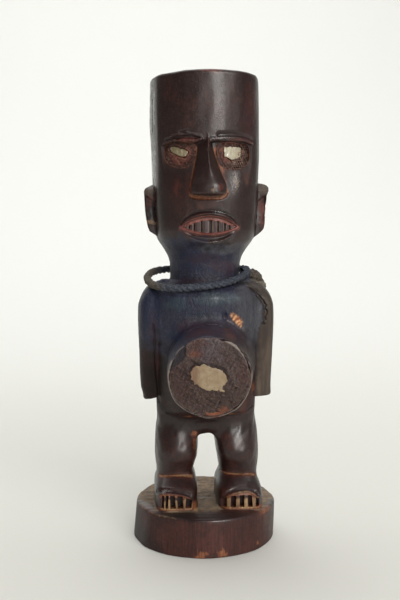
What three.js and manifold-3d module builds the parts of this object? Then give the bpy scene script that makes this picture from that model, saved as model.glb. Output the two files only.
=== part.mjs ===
// A standing power figure carved from one block of wood: a tall flat-topped head, slab arms, a capped
// belly drum and short legs on a round base. The drum holds a resin charge with a pale inlay, the eye
// pits hold resin and inlays, and a crusted cord hangs loosely round the neck.
// Millimetres, +Z up. The figure faces -Y and stands on z = 0.
// "Right" and "left" in names are the figure's own, so its right side is at -X.
import * as THREE from 'three';
import * as BufferGeometryUtils from 'three/addons/utils/BufferGeometryUtils.js';
import Module from 'manifold-3d';

// Driving dimensions
const HEIGHT = 280;
const GAP = 0.3; // clearance between pieces that touch on the real figure

const BASE = { height: 22.6, topRadius: 42.8, underRadius: 43.4, lean: -1.1, edge: 0.9, sides: 64 };

const TORSO_TOP = 158.8;
const CROTCH = 65; // underside of the body between the legs
const ARM = { top: 158.4, innerX: 24, leftBottom: 88.6, rightBottom: 87 };
const NECK = { x: -0.5, radius: 21.2, start: 150 };

const FACE_X = -1.4; // the middle of the eyes and the nose
const FACE_ARC = 40; // radius of the face seen from above
const BROW = { height: 242.4, ledge: 1.9, depth: 4.6, reach: 28 };
const EYE = { spread: 16, height: 230.6, radius: 8.1, pit: 3, face: 24.9, turn: 0.4 };
const NOSE = { top: 240.5, base: 209, tip: 40, root: 25 };
const MOUTH = { x: 0.5, height: 192.2, halfWidth: 17.2, halfHeight: 7.3, lip: 32, inside: 28.4 };
const TEETH = { count: 7, pitch: 4.9, width: 4.1, front: 30.2 };

const DRUM = {
  front: 54,
  root: 18,
  frontCentre: { x: -1.6, z: 108.3, halfWidth: 23.8, halfHeight: 22.8 },
  rootCentre: { x: 2.6, z: 112.2, halfWidth: 25.8, halfHeight: 28.2 },
};
const CHARGE = { radius: 20.6, recess: 3, proud: 1.8 };

const FOOT = {
  x: [-18.9, 20.5], // right foot, left foot
  halfWidth: [13.1, 14.2],
  ankle: 41,
  ledge: 33.6,
  toeFront: 26.9,
  toeTop: 31.4,
};
const TOES = { notches: 5, pitch: 4.65, width: 3, depth: 2.3, sole: 24.2 };
const LEG_X = [-18.2, 19.5];

const CORD = { diameter: 4.4, sides: 8, steps: 48 };

// Solids: closed meshes that can be joined and cut
const wasm = await Module();
wasm.setup();

function solidOf(geometry) {
  const bare = geometry.clone();
  bare.deleteAttribute('normal');
  bare.deleteAttribute('uv');
  const merged = BufferGeometryUtils.mergeVertices(bare, 1e-4);
  return new wasm.Manifold(new wasm.Mesh({
    numProp: 3,
    vertProperties: new Float32Array(merged.attributes.position.array),
    triVerts: new Uint32Array(merged.index.array),
  }));
}

function geometryOf(solid) {
  const { vertProperties, triVerts } = solid.getMesh();
  const geometry = new THREE.BufferGeometry();
  geometry.setAttribute('position', new THREE.BufferAttribute(new Float32Array(vertProperties), 3));
  geometry.setIndex(Array.from(triVerts));
  geometry.computeVertexNormals();
  return geometry;
}

const join = (solids) => solids.reduce((whole, piece) => whole.add(piece));
const cut = (whole, tools) => tools.reduce((rest, tool) => rest.subtract(tool), whole);

// A smooth curve through [level, value] stations that never overshoots them
function through(stations) {
  const last = stations.length - 1;
  const slope = (i) => {
    if (i === 0 || i === last) return 0;
    const before = (stations[i][1] - stations[i - 1][1]) / (stations[i][0] - stations[i - 1][0]);
    const after = (stations[i + 1][1] - stations[i][1]) / (stations[i + 1][0] - stations[i][0]);
    return before * after <= 0 ? 0 : (2 * before * after) / (before + after);
  };
  return (level) => {
    if (level <= stations[0][0]) return stations[0][1];
    if (level >= stations[last][0]) return stations[last][1];
    const i = stations.findIndex(([at]) => at > level) - 1;
    const span = stations[i + 1][0] - stations[i][0];
    const t = (level - stations[i][0]) / span;
    const rise = stations[i + 1][1] - stations[i][1];
    const a = slope(i) * span;
    const b = slope(i + 1) * span;
    return stations[i][1] + t * (a + t * (3 * rise - 2 * a - b + t * (a + b - 2 * rise)));
  };
}

// A closed skin over a row of rings that all have the same number of points
function loftGeometry(rings) {
  const sides = rings[0].length;
  const points = rings.flat();
  const index = [];
  for (let row = 0; row + 1 < rings.length; row += 1) {
    for (let i = 0; i < sides; i += 1) {
      const a = row * sides + i;
      const b = row * sides + ((i + 1) % sides);
      index.push(a, b, b + sides, a, b + sides, a + sides);
    }
  }
  for (const row of [0, rings.length - 1]) {
    const ring = rings[row];
    const hub = points.push([0, 1, 2].map((k) => ring.reduce((sum, p) => sum + p[k], 0) / sides)) - 1;
    for (let i = 0; i < sides; i += 1) {
      const a = row * sides + i;
      const b = row * sides + ((i + 1) % sides);
      index.push(...(row === 0 ? [b, a, hub] : [a, b, hub]));
    }
  }
  const geometry = new THREE.BufferGeometry();
  geometry.setAttribute('position', new THREE.Float32BufferAttribute(points.flat(), 3));
  geometry.setIndex(index);
  return geometry;
}

const loft = (rings) => solidOf(loftGeometry(rings));

// One level section: a rounded oval, squarer as power rises, with its own front and back depth
function section(z, { x = 0, y = 0, halfWidth, front, back = front, power = 2, sides = 40 }) {
  return Array.from({ length: sides }, (_, i) => {
    const angle = (2 * Math.PI * i) / sides;
    const across = Math.cos(angle);
    const along = Math.sin(angle);
    const depth = along < 0 ? front : back;
    return [
      x + halfWidth * Math.sign(across) * Math.abs(across) ** (2 / power),
      y + depth * Math.sign(along) * Math.abs(along) ** (2 / power),
      z,
    ];
  });
}

const AT_ORIGIN = { x: 0, y: 0, z: 0, turn: 0 };

// Turns a shape about its own upright axis and stands it in its place
function placed(geometry, { x, y, z, turn }) {
  return solidOf(geometry.rotateZ(turn).translate(x, y, z));
}

// A flat outline in the X-Z plane, given depth along Y from front to back
function slab(outline, front, back, place = AT_ORIGIN) {
  const shape = new THREE.Shape(outline.map(([x, z]) => new THREE.Vector2(x, z)));
  const geometry = new THREE.ExtrudeGeometry(shape, { depth: back - front, bevelEnabled: false });
  geometry.rotateX(Math.PI / 2);
  geometry.translate(0, back, 0);
  return placed(geometry, place);
}

function ball(x, y, z, radii, turn = 0) {
  const geometry = new THREE.SphereGeometry(1, 12, 7);
  geometry.scale(...radii);
  geometry.rotateY(turn);
  geometry.translate(x, y, z);
  return solidOf(geometry);
}

function block(x, y, z, size) {
  const geometry = new THREE.BoxGeometry(...size);
  geometry.translate(x, y, z);
  return solidOf(geometry);
}

// A round bar along Y
function bar(radius, front, back, sides, place) {
  const geometry = new THREE.CylinderGeometry(radius, radius, back - front, sides);
  geometry.translate(0, (front + back) / 2, 0);
  return placed(geometry, place);
}

// The round base, slightly wider and set over at its underside
function base() {
  const { height, topRadius, underRadius, lean, edge, sides } = BASE;
  const rim = (z, radius) => {
    const shift = lean * (1 - z / height);
    return section(z, { x: shift, halfWidth: radius, front: radius, sides });
  };
  return loft([
    rim(0, underRadius - edge),
    rim(edge, underRadius),
    rim(height - edge, topRadius),
    rim(height, topRadius - edge),
  ]);
}

// A leg and its foot in one loft: boxy foot, narrow ankle, swelling calf and thigh
function legAndFoot(side) {
  const footX = FOOT.x[side];
  const x = through([[FOOT.ledge, footX], [FOOT.ankle, (footX + LEG_X[side]) / 2], [50, LEG_X[side]]]);
  const halfWidth = through([[FOOT.ledge, FOOT.halfWidth[side]], [37.5, 12.8], [FOOT.ankle, 11.9], [46, 12.6],
    [57, 13.4], [68, 13.2], [80, 11]]);
  const front = through([[24.5, FOOT.toeFront], [FOOT.toeTop, 25.4], [FOOT.ledge, 23.6],
    [36.5, 19.6], [FOOT.ankle, 14.6], [46, 15.6], [57, 17.2], [68, 16.4], [80, 14]]);
  const back = through([[21, 18], [30, 18.2], [FOOT.ankle, 15], [55, 17.4], [68, 17], [80, 16]]);
  const power = through([[FOOT.ledge, 4.6], [FOOT.ankle, 2.8], [57, 2.5]]);
  const levels = [21, 24.5, FOOT.toeTop, FOOT.ledge, 36.5, 39, FOOT.ankle, 43.5, 48, 54, 61, 70, 80];
  return loft(levels.map((z) => section(z, {
    x: x(z), y: 0.5, halfWidth: halfWidth(z), front: front(z), back: back(z), power: power(z), sides: 24,
  })));
}

// Upright notches that part the toes under the ledge of each foot
function toeNotches(side) {
  const firstX = FOOT.x[side] - (side === 0 ? 11.4 : 10.3);
  const height = FOOT.toeTop - TOES.sole;
  const depth = 8;
  return Array.from({ length: TOES.notches }, (_, i) => block(
    firstX + i * TOES.pitch,
    0.5 - FOOT.toeFront + TOES.depth - depth / 2,
    TOES.sole + height / 2,
    [TOES.width, depth, height],
  ));
}

function torso() {
  const halfWidth = through([[CROTCH, 22], [68, 27.5], [72, 29.4], [80, 30.2], [100, 30.6], [148, 31.6],
    [153, 30.6], [156.5, 28.6], [TORSO_TOP, 25]]);
  const front = through([[CROTCH, 11.5], [68, 14], [74, 16], [87, 19.6], [100, 23.6], [120, 26.3],
    [140, 27.4], [149, 27.2], [153, 25.6], [156, 22.6], [TORSO_TOP, 17.5]]);
  const back = through([[CROTCH, 13], [70, 17.5], [80, 20.4], [96, 17.4], [120, 18.6], [142, 20.6],
    [151, 19.4], [156, 15.5], [TORSO_TOP, 11]]);
  const levels = [CROTCH, 67.5, 71, 78, 88, 99, 112, 128, 141, 148.5, 152.5, 156, TORSO_TOP];
  return loft(levels.map((z) => section(z, {
    halfWidth: halfWidth(z), front: front(z), back: back(z), power: 3, sides: 32,
  })));
}

// A slab arm that hangs straight from a rounded shoulder and ends cut off flat, with no hand
function arm(side) {
  const sign = side === 0 ? -1 : 1;
  const bottom = side === 0 ? ARM.rightBottom : ARM.leftBottom;
  const outer = through([[bottom, side === 0 ? 38.5 : 40.2], [95, 40], [115, 40.7], [136, 41.1],
    [144, 40.8], [149, 39.4], [153, 37.2], [156.2, 34.4], [ARM.top, 30]]);
  const front = through([[bottom, 11.6], [115, 14], [140, 17.5], [149, 16.5], [154, 13.4], [ARM.top, 8]]);
  const back = through([[bottom, 13], [120, 15], [142, 17], [150, 15.4], [154, 12.6], [ARM.top, 8]]);
  const levels = [bottom, bottom + 1, 98, 116, 134, 143, 148, 152, 155.5, ARM.top];
  return loft(levels.map((z, i) => section(z, {
    x: sign * (outer(z) + ARM.innerX) / 2,
    halfWidth: (outer(z) - ARM.innerX) / 2 - (i === 0 ? 0.8 : 0),
    front: front(z),
    back: back(z),
    power: 3.4,
    sides: 20,
  })));
}

// The belly, carved out into a short drum: its root swells out of the chest and its front is flat
function drum() {
  const { front, root, frontCentre, rootCentre } = DRUM;
  const sides = 40;
  const swell = through([[0, 0], [0.55, 0.34], [1, 1]]);
  const depths = [root, 25, 30, 36, 43, front - 0.9, front];
  return loft(depths.map((depth) => {
    const t = swell((front - depth) / (front - root));
    const mix = (key) => frontCentre[key] + t * (rootCentre[key] - frontCentre[key]);
    const edge = depth === front ? 0.9 : 0;
    return Array.from({ length: sides }, (_, i) => {
      const angle = (2 * Math.PI * i) / sides;
      return [
        mix('x') + (mix('halfWidth') - edge) * Math.cos(angle),
        -depth,
        mix('z') + (mix('halfHeight') - edge) * Math.sin(angle),
      ];
    });
  }));
}

// The chip where raw wood shows, on the upper edge of the belly's root
function rootChip() {
  return ball(17.2, -32.6, 138.2, [5, 3.4, 2.3], 0.85);
}

// Neck, jaw and head in one loft. The face is flattened, and steps back under the brow
function head() {
  const sides = 44;
  const halfWidth = through([[NECK.start, 22], [163, NECK.radius], [169, 21.4], [173, 22.3],
    [177.5, 24.6], [184.5, 29.1], [190, 30.4], [205, 31.2], [228, 32], [254, 32.6], [275, 32.3],
    [279.2, 31.8], [HEIGHT, 30.6]]);
  const front = through([[NECK.start, 22], [163, 21], [170, 21.6], [176, 24], [183, 28], [190, 30],
    [205, 30.6], [BROW.height, 32.4], [262, 33], [275, 32.6], [279.2, 32], [HEIGHT, 30.8]]);
  const back = through([[NECK.start, 23], [163, 20.6], [172, 21.6], [182, 26.4], [198, 30], [225, 32],
    [255, 32.4], [275, 32], [279.2, 31.4], [HEIGHT, 30.2]]);
  const x = through([[163, NECK.x], [190, -0.4], [228, -0.4], [254, -1]]);
  const power = through([[172, 2], [190, 2.5], [240, 2.6], [HEIGHT, 2.25]]);
  const ledgeBottom = BROW.height - BROW.ledge;
  const recess = through([[204, 0], [212, 1.1], [222, 2.8], [232, 4], [ledgeBottom, BROW.depth],
    [BROW.height, 0]]);
  const levels = [NECK.start, 164, 170, 174, 178, 182, 187, 195, 204, 213, 223, 232, ledgeBottom,
    BROW.height, 247, 261, 274, 279, HEIGHT];
  return loft(levels.map((z) => {
    const ring = section(z, {
      x: x(z), halfWidth: halfWidth(z), front: front(z) + 0.8, back: back(z), power: power(z), sides,
    });
    return ring.map(([px, py]) => {
      const across = px - FACE_X;
      const face = FACE_ARC - front(z) - Math.sqrt(FACE_ARC ** 2 - across ** 2);
      const fade = Math.max(0, 1 - (Math.abs(across) / BROW.reach) ** 6);
      const inside = py < -8 ? Math.max(py, face + recess(z) * fade) : py;
      return [px, inside, z - crownDip(px, z)];
    });
  }));
}

// The flat crown is worn down a little towards the figure's right side
function crownDip(x, z) {
  return z < 270 ? 0 : 1.3 * THREE.MathUtils.smoothstep(-x, 2, 31);
}

function nose() {
  const halfWidth = through([[NOSE.base, 10], [NOSE.base + 3, 9.6], [NOSE.top - 6, 5.4], [NOSE.top, 5]]);
  const tip = through([[NOSE.base, NOSE.tip - 0.9], [NOSE.base + 3, NOSE.tip], [NOSE.top - 8, 33.4],
    [NOSE.top, 31.8]]);
  const levels = [NOSE.base, NOSE.base + 2.5, 218, 228, NOSE.top - 5, NOSE.top];
  return loft(levels.map((z) => {
    const w = halfWidth(z);
    const y = -tip(z);
    return [[-w, -NOSE.root], [-w, y + 6.5], [-0.45 * w, y + 0.9], [-0.12 * w, y], [0.12 * w, y],
      [0.45 * w, y + 0.9], [w, y + 6.5], [w, -NOSE.root]].map(([px, py]) => [FACE_X + 0.4 + px, py, z]);
  }));
}

// An upright column whose front follows the curve of the face at a given depth
function faceColumn(front, x) {
  const geometry = new THREE.CylinderGeometry(FACE_ARC, FACE_ARC, 40, 96);
  geometry.rotateX(Math.PI / 2);
  geometry.translate(x, FACE_ARC - front, MOUTH.height);
  return solidOf(geometry);
}

// The almond of the mouth: two arcs that meet in points at the corners
function almond(halfWidth, halfHeight) {
  const steps = 14;
  return Array.from({ length: 2 * steps }, (_, i) => {
    const across = Math.cos((Math.PI * i) / steps);
    const height = halfHeight * (1 - across ** 2) ** 0.8;
    return [MOUTH.x + halfWidth * across, MOUTH.height + (i < steps ? height : -height)];
  });
}

function mouth(figure) {
  const outer = slab(almond(MOUTH.halfWidth, MOUTH.halfHeight), -40, -22);
  const inner = slab(almond(MOUTH.halfWidth - 2.6, MOUTH.halfHeight - 1.9), -44, -22);
  const inside = faceColumn(MOUTH.inside, MOUTH.x);
  const lips = outer.intersect(faceColumn(MOUTH.lip, MOUTH.x));
  const teeth = Array.from({ length: TEETH.count }, (_, i) => block(
    MOUTH.x + (i - (TEETH.count - 1) / 2) * TEETH.pitch,
    -32,
    MOUTH.height,
    [TEETH.width, 16, 2 * MOUTH.halfHeight],
  ));
  const row = join(teeth).intersect(inner).intersect(faceColumn(TEETH.front, MOUTH.x));
  return figure.add(lips).subtract(inner.subtract(inside)).add(row);
}

// An ear: a bracket that stands out from the head, hollowed from the front
function ear(side) {
  const sign = side === 0 ? -1 : 1;
  const mirror = (outline) => outline.map(([x, z]) => [sign * x, z]);
  const flap = slab(mirror([[26, 218], [30.5, 217.4], [37.4, 215], [37.7, 212.5], [36.6, 198],
    [35.4, 190], [34.2, 187.8], [26, 183.5]]), -9, 6);
  const hollow = slab(mirror([[26, 207.6], [36.3, 211.6], [35.3, 198], [34.2, 192.2],
    [26, 191.4]]), -12, 0.5);
  return flap.subtract(hollow);
}

// Where the round insets sit: the charge in the drum's front, the eyes turned with the curve of the face
const { x: drumX, z: drumZ } = DRUM.frontCentre;
const CHARGE_PLACE = { x: drumX, y: -DRUM.front, z: drumZ, turn: 0 };
const EYE_PLACES = [-1, 1].map((sign) => ({
  x: FACE_X + sign * EYE.spread, y: -EYE.face, z: EYE.height, turn: sign * EYE.turn,
}));

// The irregular slips of glass or shell. Outline: x, z, half width, half height, raggedness, tilt
const BELLY_SLIP = { outline: [-1.5, 0, 10.6, 7.3, 0.07, -0.12], proud: 1.3, thickness: 1.4 };
const RIGHT_EYE_SLIP = { outline: [-0.4, 1.6, 5.2, 3.1, 0.1, -0.3], proud: 0.3, thickness: 1.2 };
const LEFT_EYE_SLIP = { outline: [-0.3, 1.6, 6, 4.2, 0.06, -0.05], proud: 0.3, thickness: 1.2 };
const SLIPS = {
  belly_inlay: { ...BELLY_SLIP, place: CHARGE_PLACE },
  right_eye_inlay: { ...RIGHT_EYE_SLIP, place: EYE_PLACES[0] },
  left_eye_inlay: { ...LEFT_EYE_SLIP, place: EYE_PLACES[1] },
};

function slipOutline([x, z, halfWidth, halfHeight, raggedness, tilt], grow = 0) {
  const steps = 18;
  return Array.from({ length: steps }, (_, i) => {
    const angle = (2 * Math.PI * i) / steps;
    const ragged = 1 + raggedness * (Math.sin(3 * angle + 1) + 0.6 * Math.sin(5 * angle + 2.4));
    const across = (halfWidth * ragged + grow) * Math.cos(angle);
    const up = (halfHeight * ragged + grow) * Math.sin(angle);
    return [
      x + across * Math.cos(tilt) - up * Math.sin(tilt),
      z + across * Math.sin(tilt) + up * Math.cos(tilt),
    ];
  });
}

function slipSolid({ outline, proud, thickness, place }) {
  return slab(slipOutline(outline), -proud, thickness - proud, place);
}

function slipPocket({ outline, proud, thickness, place }) {
  return slab(slipOutline(outline, GAP), -proud - 6, thickness - proud + GAP, place);
}

// A low round cake of resin with a crowned front, pressed into its recess
function resinCake(radius, recess, proud, sides, slip) {
  const crown = 0.7;
  const rings = [[-recess, radius], [proud - crown - 0.5, radius], [proud - crown, radius - 0.7],
    [proud, radius * 0.55]].map(([depth, r]) => Array.from({ length: sides }, (_, i) => {
    const angle = (2 * Math.PI * i) / sides;
    return [r * Math.cos(angle), -depth, r * Math.sin(angle)];
  }));
  return placed(loftGeometry(rings), slip.place).subtract(slipPocket(slip));
}

function bellyResin() {
  return resinCake(CHARGE.radius - GAP, CHARGE.recess - GAP, CHARGE.proud, 32, SLIPS.belly_inlay);
}

function eyeResin(slip) {
  return resinCake(EYE.radius - GAP, EYE.pit - GAP, 0.2, 20, slip);
}

function carvedFigure() {
  const sides = [0, 1];
  const body = join([base(), torso(), drum(), head(), nose(), ...sides.map(legAndFoot), ...sides.map(arm),
    ...sides.map(ear)]);
  const charge = bar(CHARGE.radius, -5, CHARGE.recess, 32, CHARGE_PLACE);
  const pits = EYE_PLACES.map((place) => bar(EYE.radius, -9, EYE.pit, 20, place));
  return mouth(cut(body, [charge, rootChip(), ...pits, ...sides.flatMap(toeNotches)]));
}

// The cord's route: from the knot, forward round the neck, out over the right shoulder and back again
const CORD_ROUTE = [
  [25.6, -4, 164.3], [23.4, -9.6, 163.2], [20.6, -15.2, 161.9], [16.6, -20.4, 160.6], [11, -24.6, 159.2],
  [3, -27, 157.8], [-5, -27.8, 156.9], [-13, -27.8, 156.3], [-20.4, -26.6, 156], [-26.6, -23.2, 156.2],
  [-31.6, -17.6, 157], [-34.6, -10.4, 158.6], [-35.6, -3, 160.4], [-34.4, 3.4, 162.2], [-31.4, 9.4, 163.6],
  [-26.6, 15.2, 164.2], [-19.6, 20.6, 164.6], [-11, 24.2, 164.9], [-2, 25.4, 165], [7, 24.6, 165],
  [15, 21.4, 165], [21.4, 15.8, 165], [25, 9.4, 165], [26, 4.6, 164.9],
];

function neckCord() {
  const route = new THREE.CatmullRomCurve3(CORD_ROUTE.map((point) => new THREE.Vector3(...point)));
  const radius = CORD.diameter / 2;
  const ring = Array.from({ length: CORD.sides }, (_, i) => {
    const angle = (2 * Math.PI * i) / CORD.sides;
    return new THREE.Vector2(radius * Math.cos(angle), radius * Math.sin(angle));
  });
  return solidOf(new THREE.ExtrudeGeometry(new THREE.Shape(ring), { extrudePath: route, steps: CORD.steps }));
}

// The knot: crossing lumps of cord with a short tail that lies down over the shoulder
function cordKnot() {
  return join([
    ball(27, 0.3, 163.7, [3, 3.3, 2.7]),
    ball(30.2, 0, 162, [3.4, 3.9, 2.7], 0.5),
    ball(32.6, -0.6, 160.9, [2.5, 3, 2.4], 0.9),
    ball(34.6, -1, 158.8, [2.2, 2.2, 1.6], 1.05),
  ]);
}

// Materials: colours, roughness and metalness as the pieces show them
const MATERIALS = {
  wood: new THREE.MeshStandardMaterial({ color: 0x37241f, roughness: 0.42, metalness: 0 }),
  resin: new THREE.MeshStandardMaterial({ color: 0x3f2a28, roughness: 0.6, metalness: 0 }),
  inlay: new THREE.MeshStandardMaterial({ color: 0xc9bd98, roughness: 0.25, metalness: 0 }),
  cord: new THREE.MeshStandardMaterial({ color: 0x262630, roughness: 0.8, metalness: 0 }),
};

function piece(name, solid, material) {
  const mesh = new THREE.Mesh(geometryOf(solid), material);
  mesh.name = name;
  return mesh;
}

const figure = new THREE.Group();
figure.add(
  piece('carved_figure', carvedFigure(), MATERIALS.wood),
  piece('belly_resin', bellyResin(), MATERIALS.resin),
  piece('right_eye_resin', eyeResin(SLIPS.right_eye_inlay), MATERIALS.resin),
  piece('left_eye_resin', eyeResin(SLIPS.left_eye_inlay), MATERIALS.resin),
  ...Object.entries(SLIPS).map(([name, details]) => piece(name, slipSolid(details), MATERIALS.inlay)),
  piece('neck_cord', neckCord(), MATERIALS.cord),
  piece('cord_knot', cordKnot(), MATERIALS.cord),
);

export default figure;
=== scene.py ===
# %% [markdown]
# # A carved power figure with a belly charge
# The real object is one block of dark, oiled wood: a tall flat-topped head, slab arms, a drum on the
# belly and short legs on a round base. Resin and pale slips sit in the drum and in the eye pits, and a
# crusted cord lies round the neck. The construction model holds the sizes, and this script gives each
# piece its finished surface. The figure faces -Y, and "right" and "left" are the figure's own.

import math

import bpy
import numpy as np
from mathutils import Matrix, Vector


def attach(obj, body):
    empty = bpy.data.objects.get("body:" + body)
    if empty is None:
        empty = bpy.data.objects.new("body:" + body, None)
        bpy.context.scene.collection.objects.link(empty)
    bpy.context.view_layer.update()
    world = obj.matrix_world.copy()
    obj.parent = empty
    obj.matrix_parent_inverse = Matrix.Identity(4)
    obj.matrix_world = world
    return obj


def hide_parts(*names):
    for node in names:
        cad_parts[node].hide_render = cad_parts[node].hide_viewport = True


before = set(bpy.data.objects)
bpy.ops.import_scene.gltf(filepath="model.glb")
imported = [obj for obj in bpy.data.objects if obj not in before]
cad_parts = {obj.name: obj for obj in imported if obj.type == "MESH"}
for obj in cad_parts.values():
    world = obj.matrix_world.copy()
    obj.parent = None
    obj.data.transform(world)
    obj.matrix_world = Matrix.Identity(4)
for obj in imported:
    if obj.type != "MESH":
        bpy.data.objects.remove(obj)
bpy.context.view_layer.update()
MM = 0.001
scene = bpy.context.scene

# %% [markdown]
# ## The camera
# A camera could be set by eye, but the two ellipses of the base and the curve of the flat crown give
# its place: about half a metre away, a little above the chin, looking five degrees down and standing
# slightly to the figure's right. A 50 mm lens on a 36 mm frame gives the same perspective.

# %% Camera
EYE_POINT = (-0.03999, -0.50813, 0.1933)
LOOK_DOWN = math.radians(5.25)
LOOK_ASIDE = math.radians(4.122)

camera_data = bpy.data.cameras.new("portrait_camera")
camera_data.lens = 50
camera_data.sensor_width = 36
camera_data.clip_start = 0.01
camera = bpy.data.objects.new("portrait_camera", camera_data)
camera.location = EYE_POINT
camera.rotation_euler = (math.pi / 2 - LOOK_DOWN, 0, -LOOK_ASIDE)
scene.collection.objects.link(camera)
scene.camera = camera
print("camera", tuple(round(v, 4) for v in camera.location))

# %% [markdown]
# ## Helpers for meshes and node trees
# Every piece below ends as a plain mesh whose place is in its vertices. One helper turns arrays into
# an object, and a second one adds nodes to a tree and joins their sockets by name.

# %% Mesh and node helpers
def mesh_object(name, points, faces):
    """A mesh object at the origin, from points in millimetres."""
    mesh = bpy.data.meshes.new(name)
    mesh.from_pydata((np.asarray(points) * MM).tolist(), [], np.asarray(faces).tolist())
    mesh.update()
    made = bpy.data.objects.new(name, mesh)
    scene.collection.objects.link(made)
    return made


def add_node(tree, kind, settings=None, **inputs):
    """Adds a node. Settings are its own values, and inputs are values or other nodes' sockets."""
    node = tree.nodes.new(kind)
    for key, value in (settings or {}).items():
        setattr(node, key, value)
    for key, value in inputs.items():
        socket = node.inputs[int(key[1:])] if key[0] == "_" else node.inputs[key.replace("_", " ")]
        if isinstance(value, bpy.types.NodeSocket):
            tree.links.new(value, socket)
        else:
            socket.default_value = value
    return node


def math_node(tree, operation, *values):
    """One sum on a single number; values are numbers or sockets."""
    keys = {f"_{i}": value for i, value in enumerate(values)}
    return add_node(tree, "ShaderNodeMath", {"operation": operation}, **keys).outputs[0]


def smooth_share(tree, value, low, high):
    """0 below low, 1 above high, and a smooth rise between them."""
    return add_node(tree, "ShaderNodeMapRange", {"interpolation_type": "SMOOTHSTEP"}, _0=value,
                    _1=low, _2=high).outputs[0]


def geometry_tree(name, **inputs):
    """A tree that takes and gives geometry. Returns it with its inputs' sockets and its output's."""
    tree = bpy.data.node_groups.new(name, "GeometryNodeTree")
    for socket, kind in {"Geometry": "Geometry", **inputs}.items():
        tree.interface.new_socket(socket, in_out="INPUT", socket_type=f"NodeSocket{kind}")
    tree.interface.new_socket("Geometry", in_out="OUTPUT", socket_type="NodeSocketGeometry")
    return tree, tree.nodes.new("NodeGroupInput").outputs, tree.nodes.new("NodeGroupOutput").inputs[0]


def triangles(mesh):
    """How many triangles a mesh comes to."""
    mesh.calc_loop_triangles()
    return len(mesh.loop_triangles)


# %% [markdown]
# ## The neck cord
# The real cord is three plies of fibre twisted together, stiff with crust, and it hangs in one loose
# loop from its knot. A plain tube would lose the twist, and a simulation would move it off the route
# that the construction model holds. So the route's points are repeated here, and Geometry
# Nodes sweep a three-lobed section along them while its tilt grows with the length.

# %% Cord route and section
CORD_DIAMETER = 4.4
CORD_PITCH = 11.0  # length of one full turn of the plies
PLIES = 3
PLY_HEIGHT, PLY_FLOOR = 0.26, 0.78  # as shares of the radius
CORD_CRUST = 1.3  # full range by which the crust pushes the surface in and out
CORD_STEP = 0.45  # distance between two rings of points
RING_POINTS = 27
CORD_ROUTE = [
    (25.6, -4, 164.3), (23.4, -9.6, 163.2), (20.6, -15.2, 161.9), (16.6, -20.4, 160.6), (11, -24.6, 159.2),
    (3, -27, 157.8), (-5, -27.8, 156.9), (-13, -27.8, 156.3), (-20.4, -26.6, 156), (-26.6, -23.2, 156.2),
    (-31.6, -17.6, 157), (-34.6, -10.4, 158.6), (-35.6, -3, 160.4), (-34.4, 3.4, 162.2),
    (-31.4, 9.4, 163.6), (-26.6, 15.2, 164.2), (-19.6, 20.6, 164.6), (-11, 24.2, 164.9), (-2, 25.4, 165),
    (7, 24.6, 165), (15, 21.4, 165), (21.4, 15.8, 165), (25, 9.4, 165), (26, 4.6, 164.9)]


def smooth_route(points, steps):
    """Points along a smooth curve through all the given points."""
    p = np.array(points, float)
    p = np.vstack([2 * p[0] - p[1], p, 2 * p[-1] - p[-2]])
    t = np.linspace(0, 1, steps, endpoint=False)[:, None]
    spans = []
    for a, b, c, d in zip(p[:-3], p[1:-2], p[2:-1], p[3:]):
        bend = 2 * a - 5 * b + 4 * c - d
        turn = -a + 3 * b - 3 * c + d
        spans.append(b + 0.5 * t * ((c - a) + t * (bend + t * turn)))
    return np.vstack(spans + [p[-2:-1]])


cord_line = smooth_route(CORD_ROUTE, 6)
cord_length = float(np.linalg.norm(np.diff(cord_line, axis=0), axis=1).sum())
print(f"cord length along its route {cord_length:.1f} mm")

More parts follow.
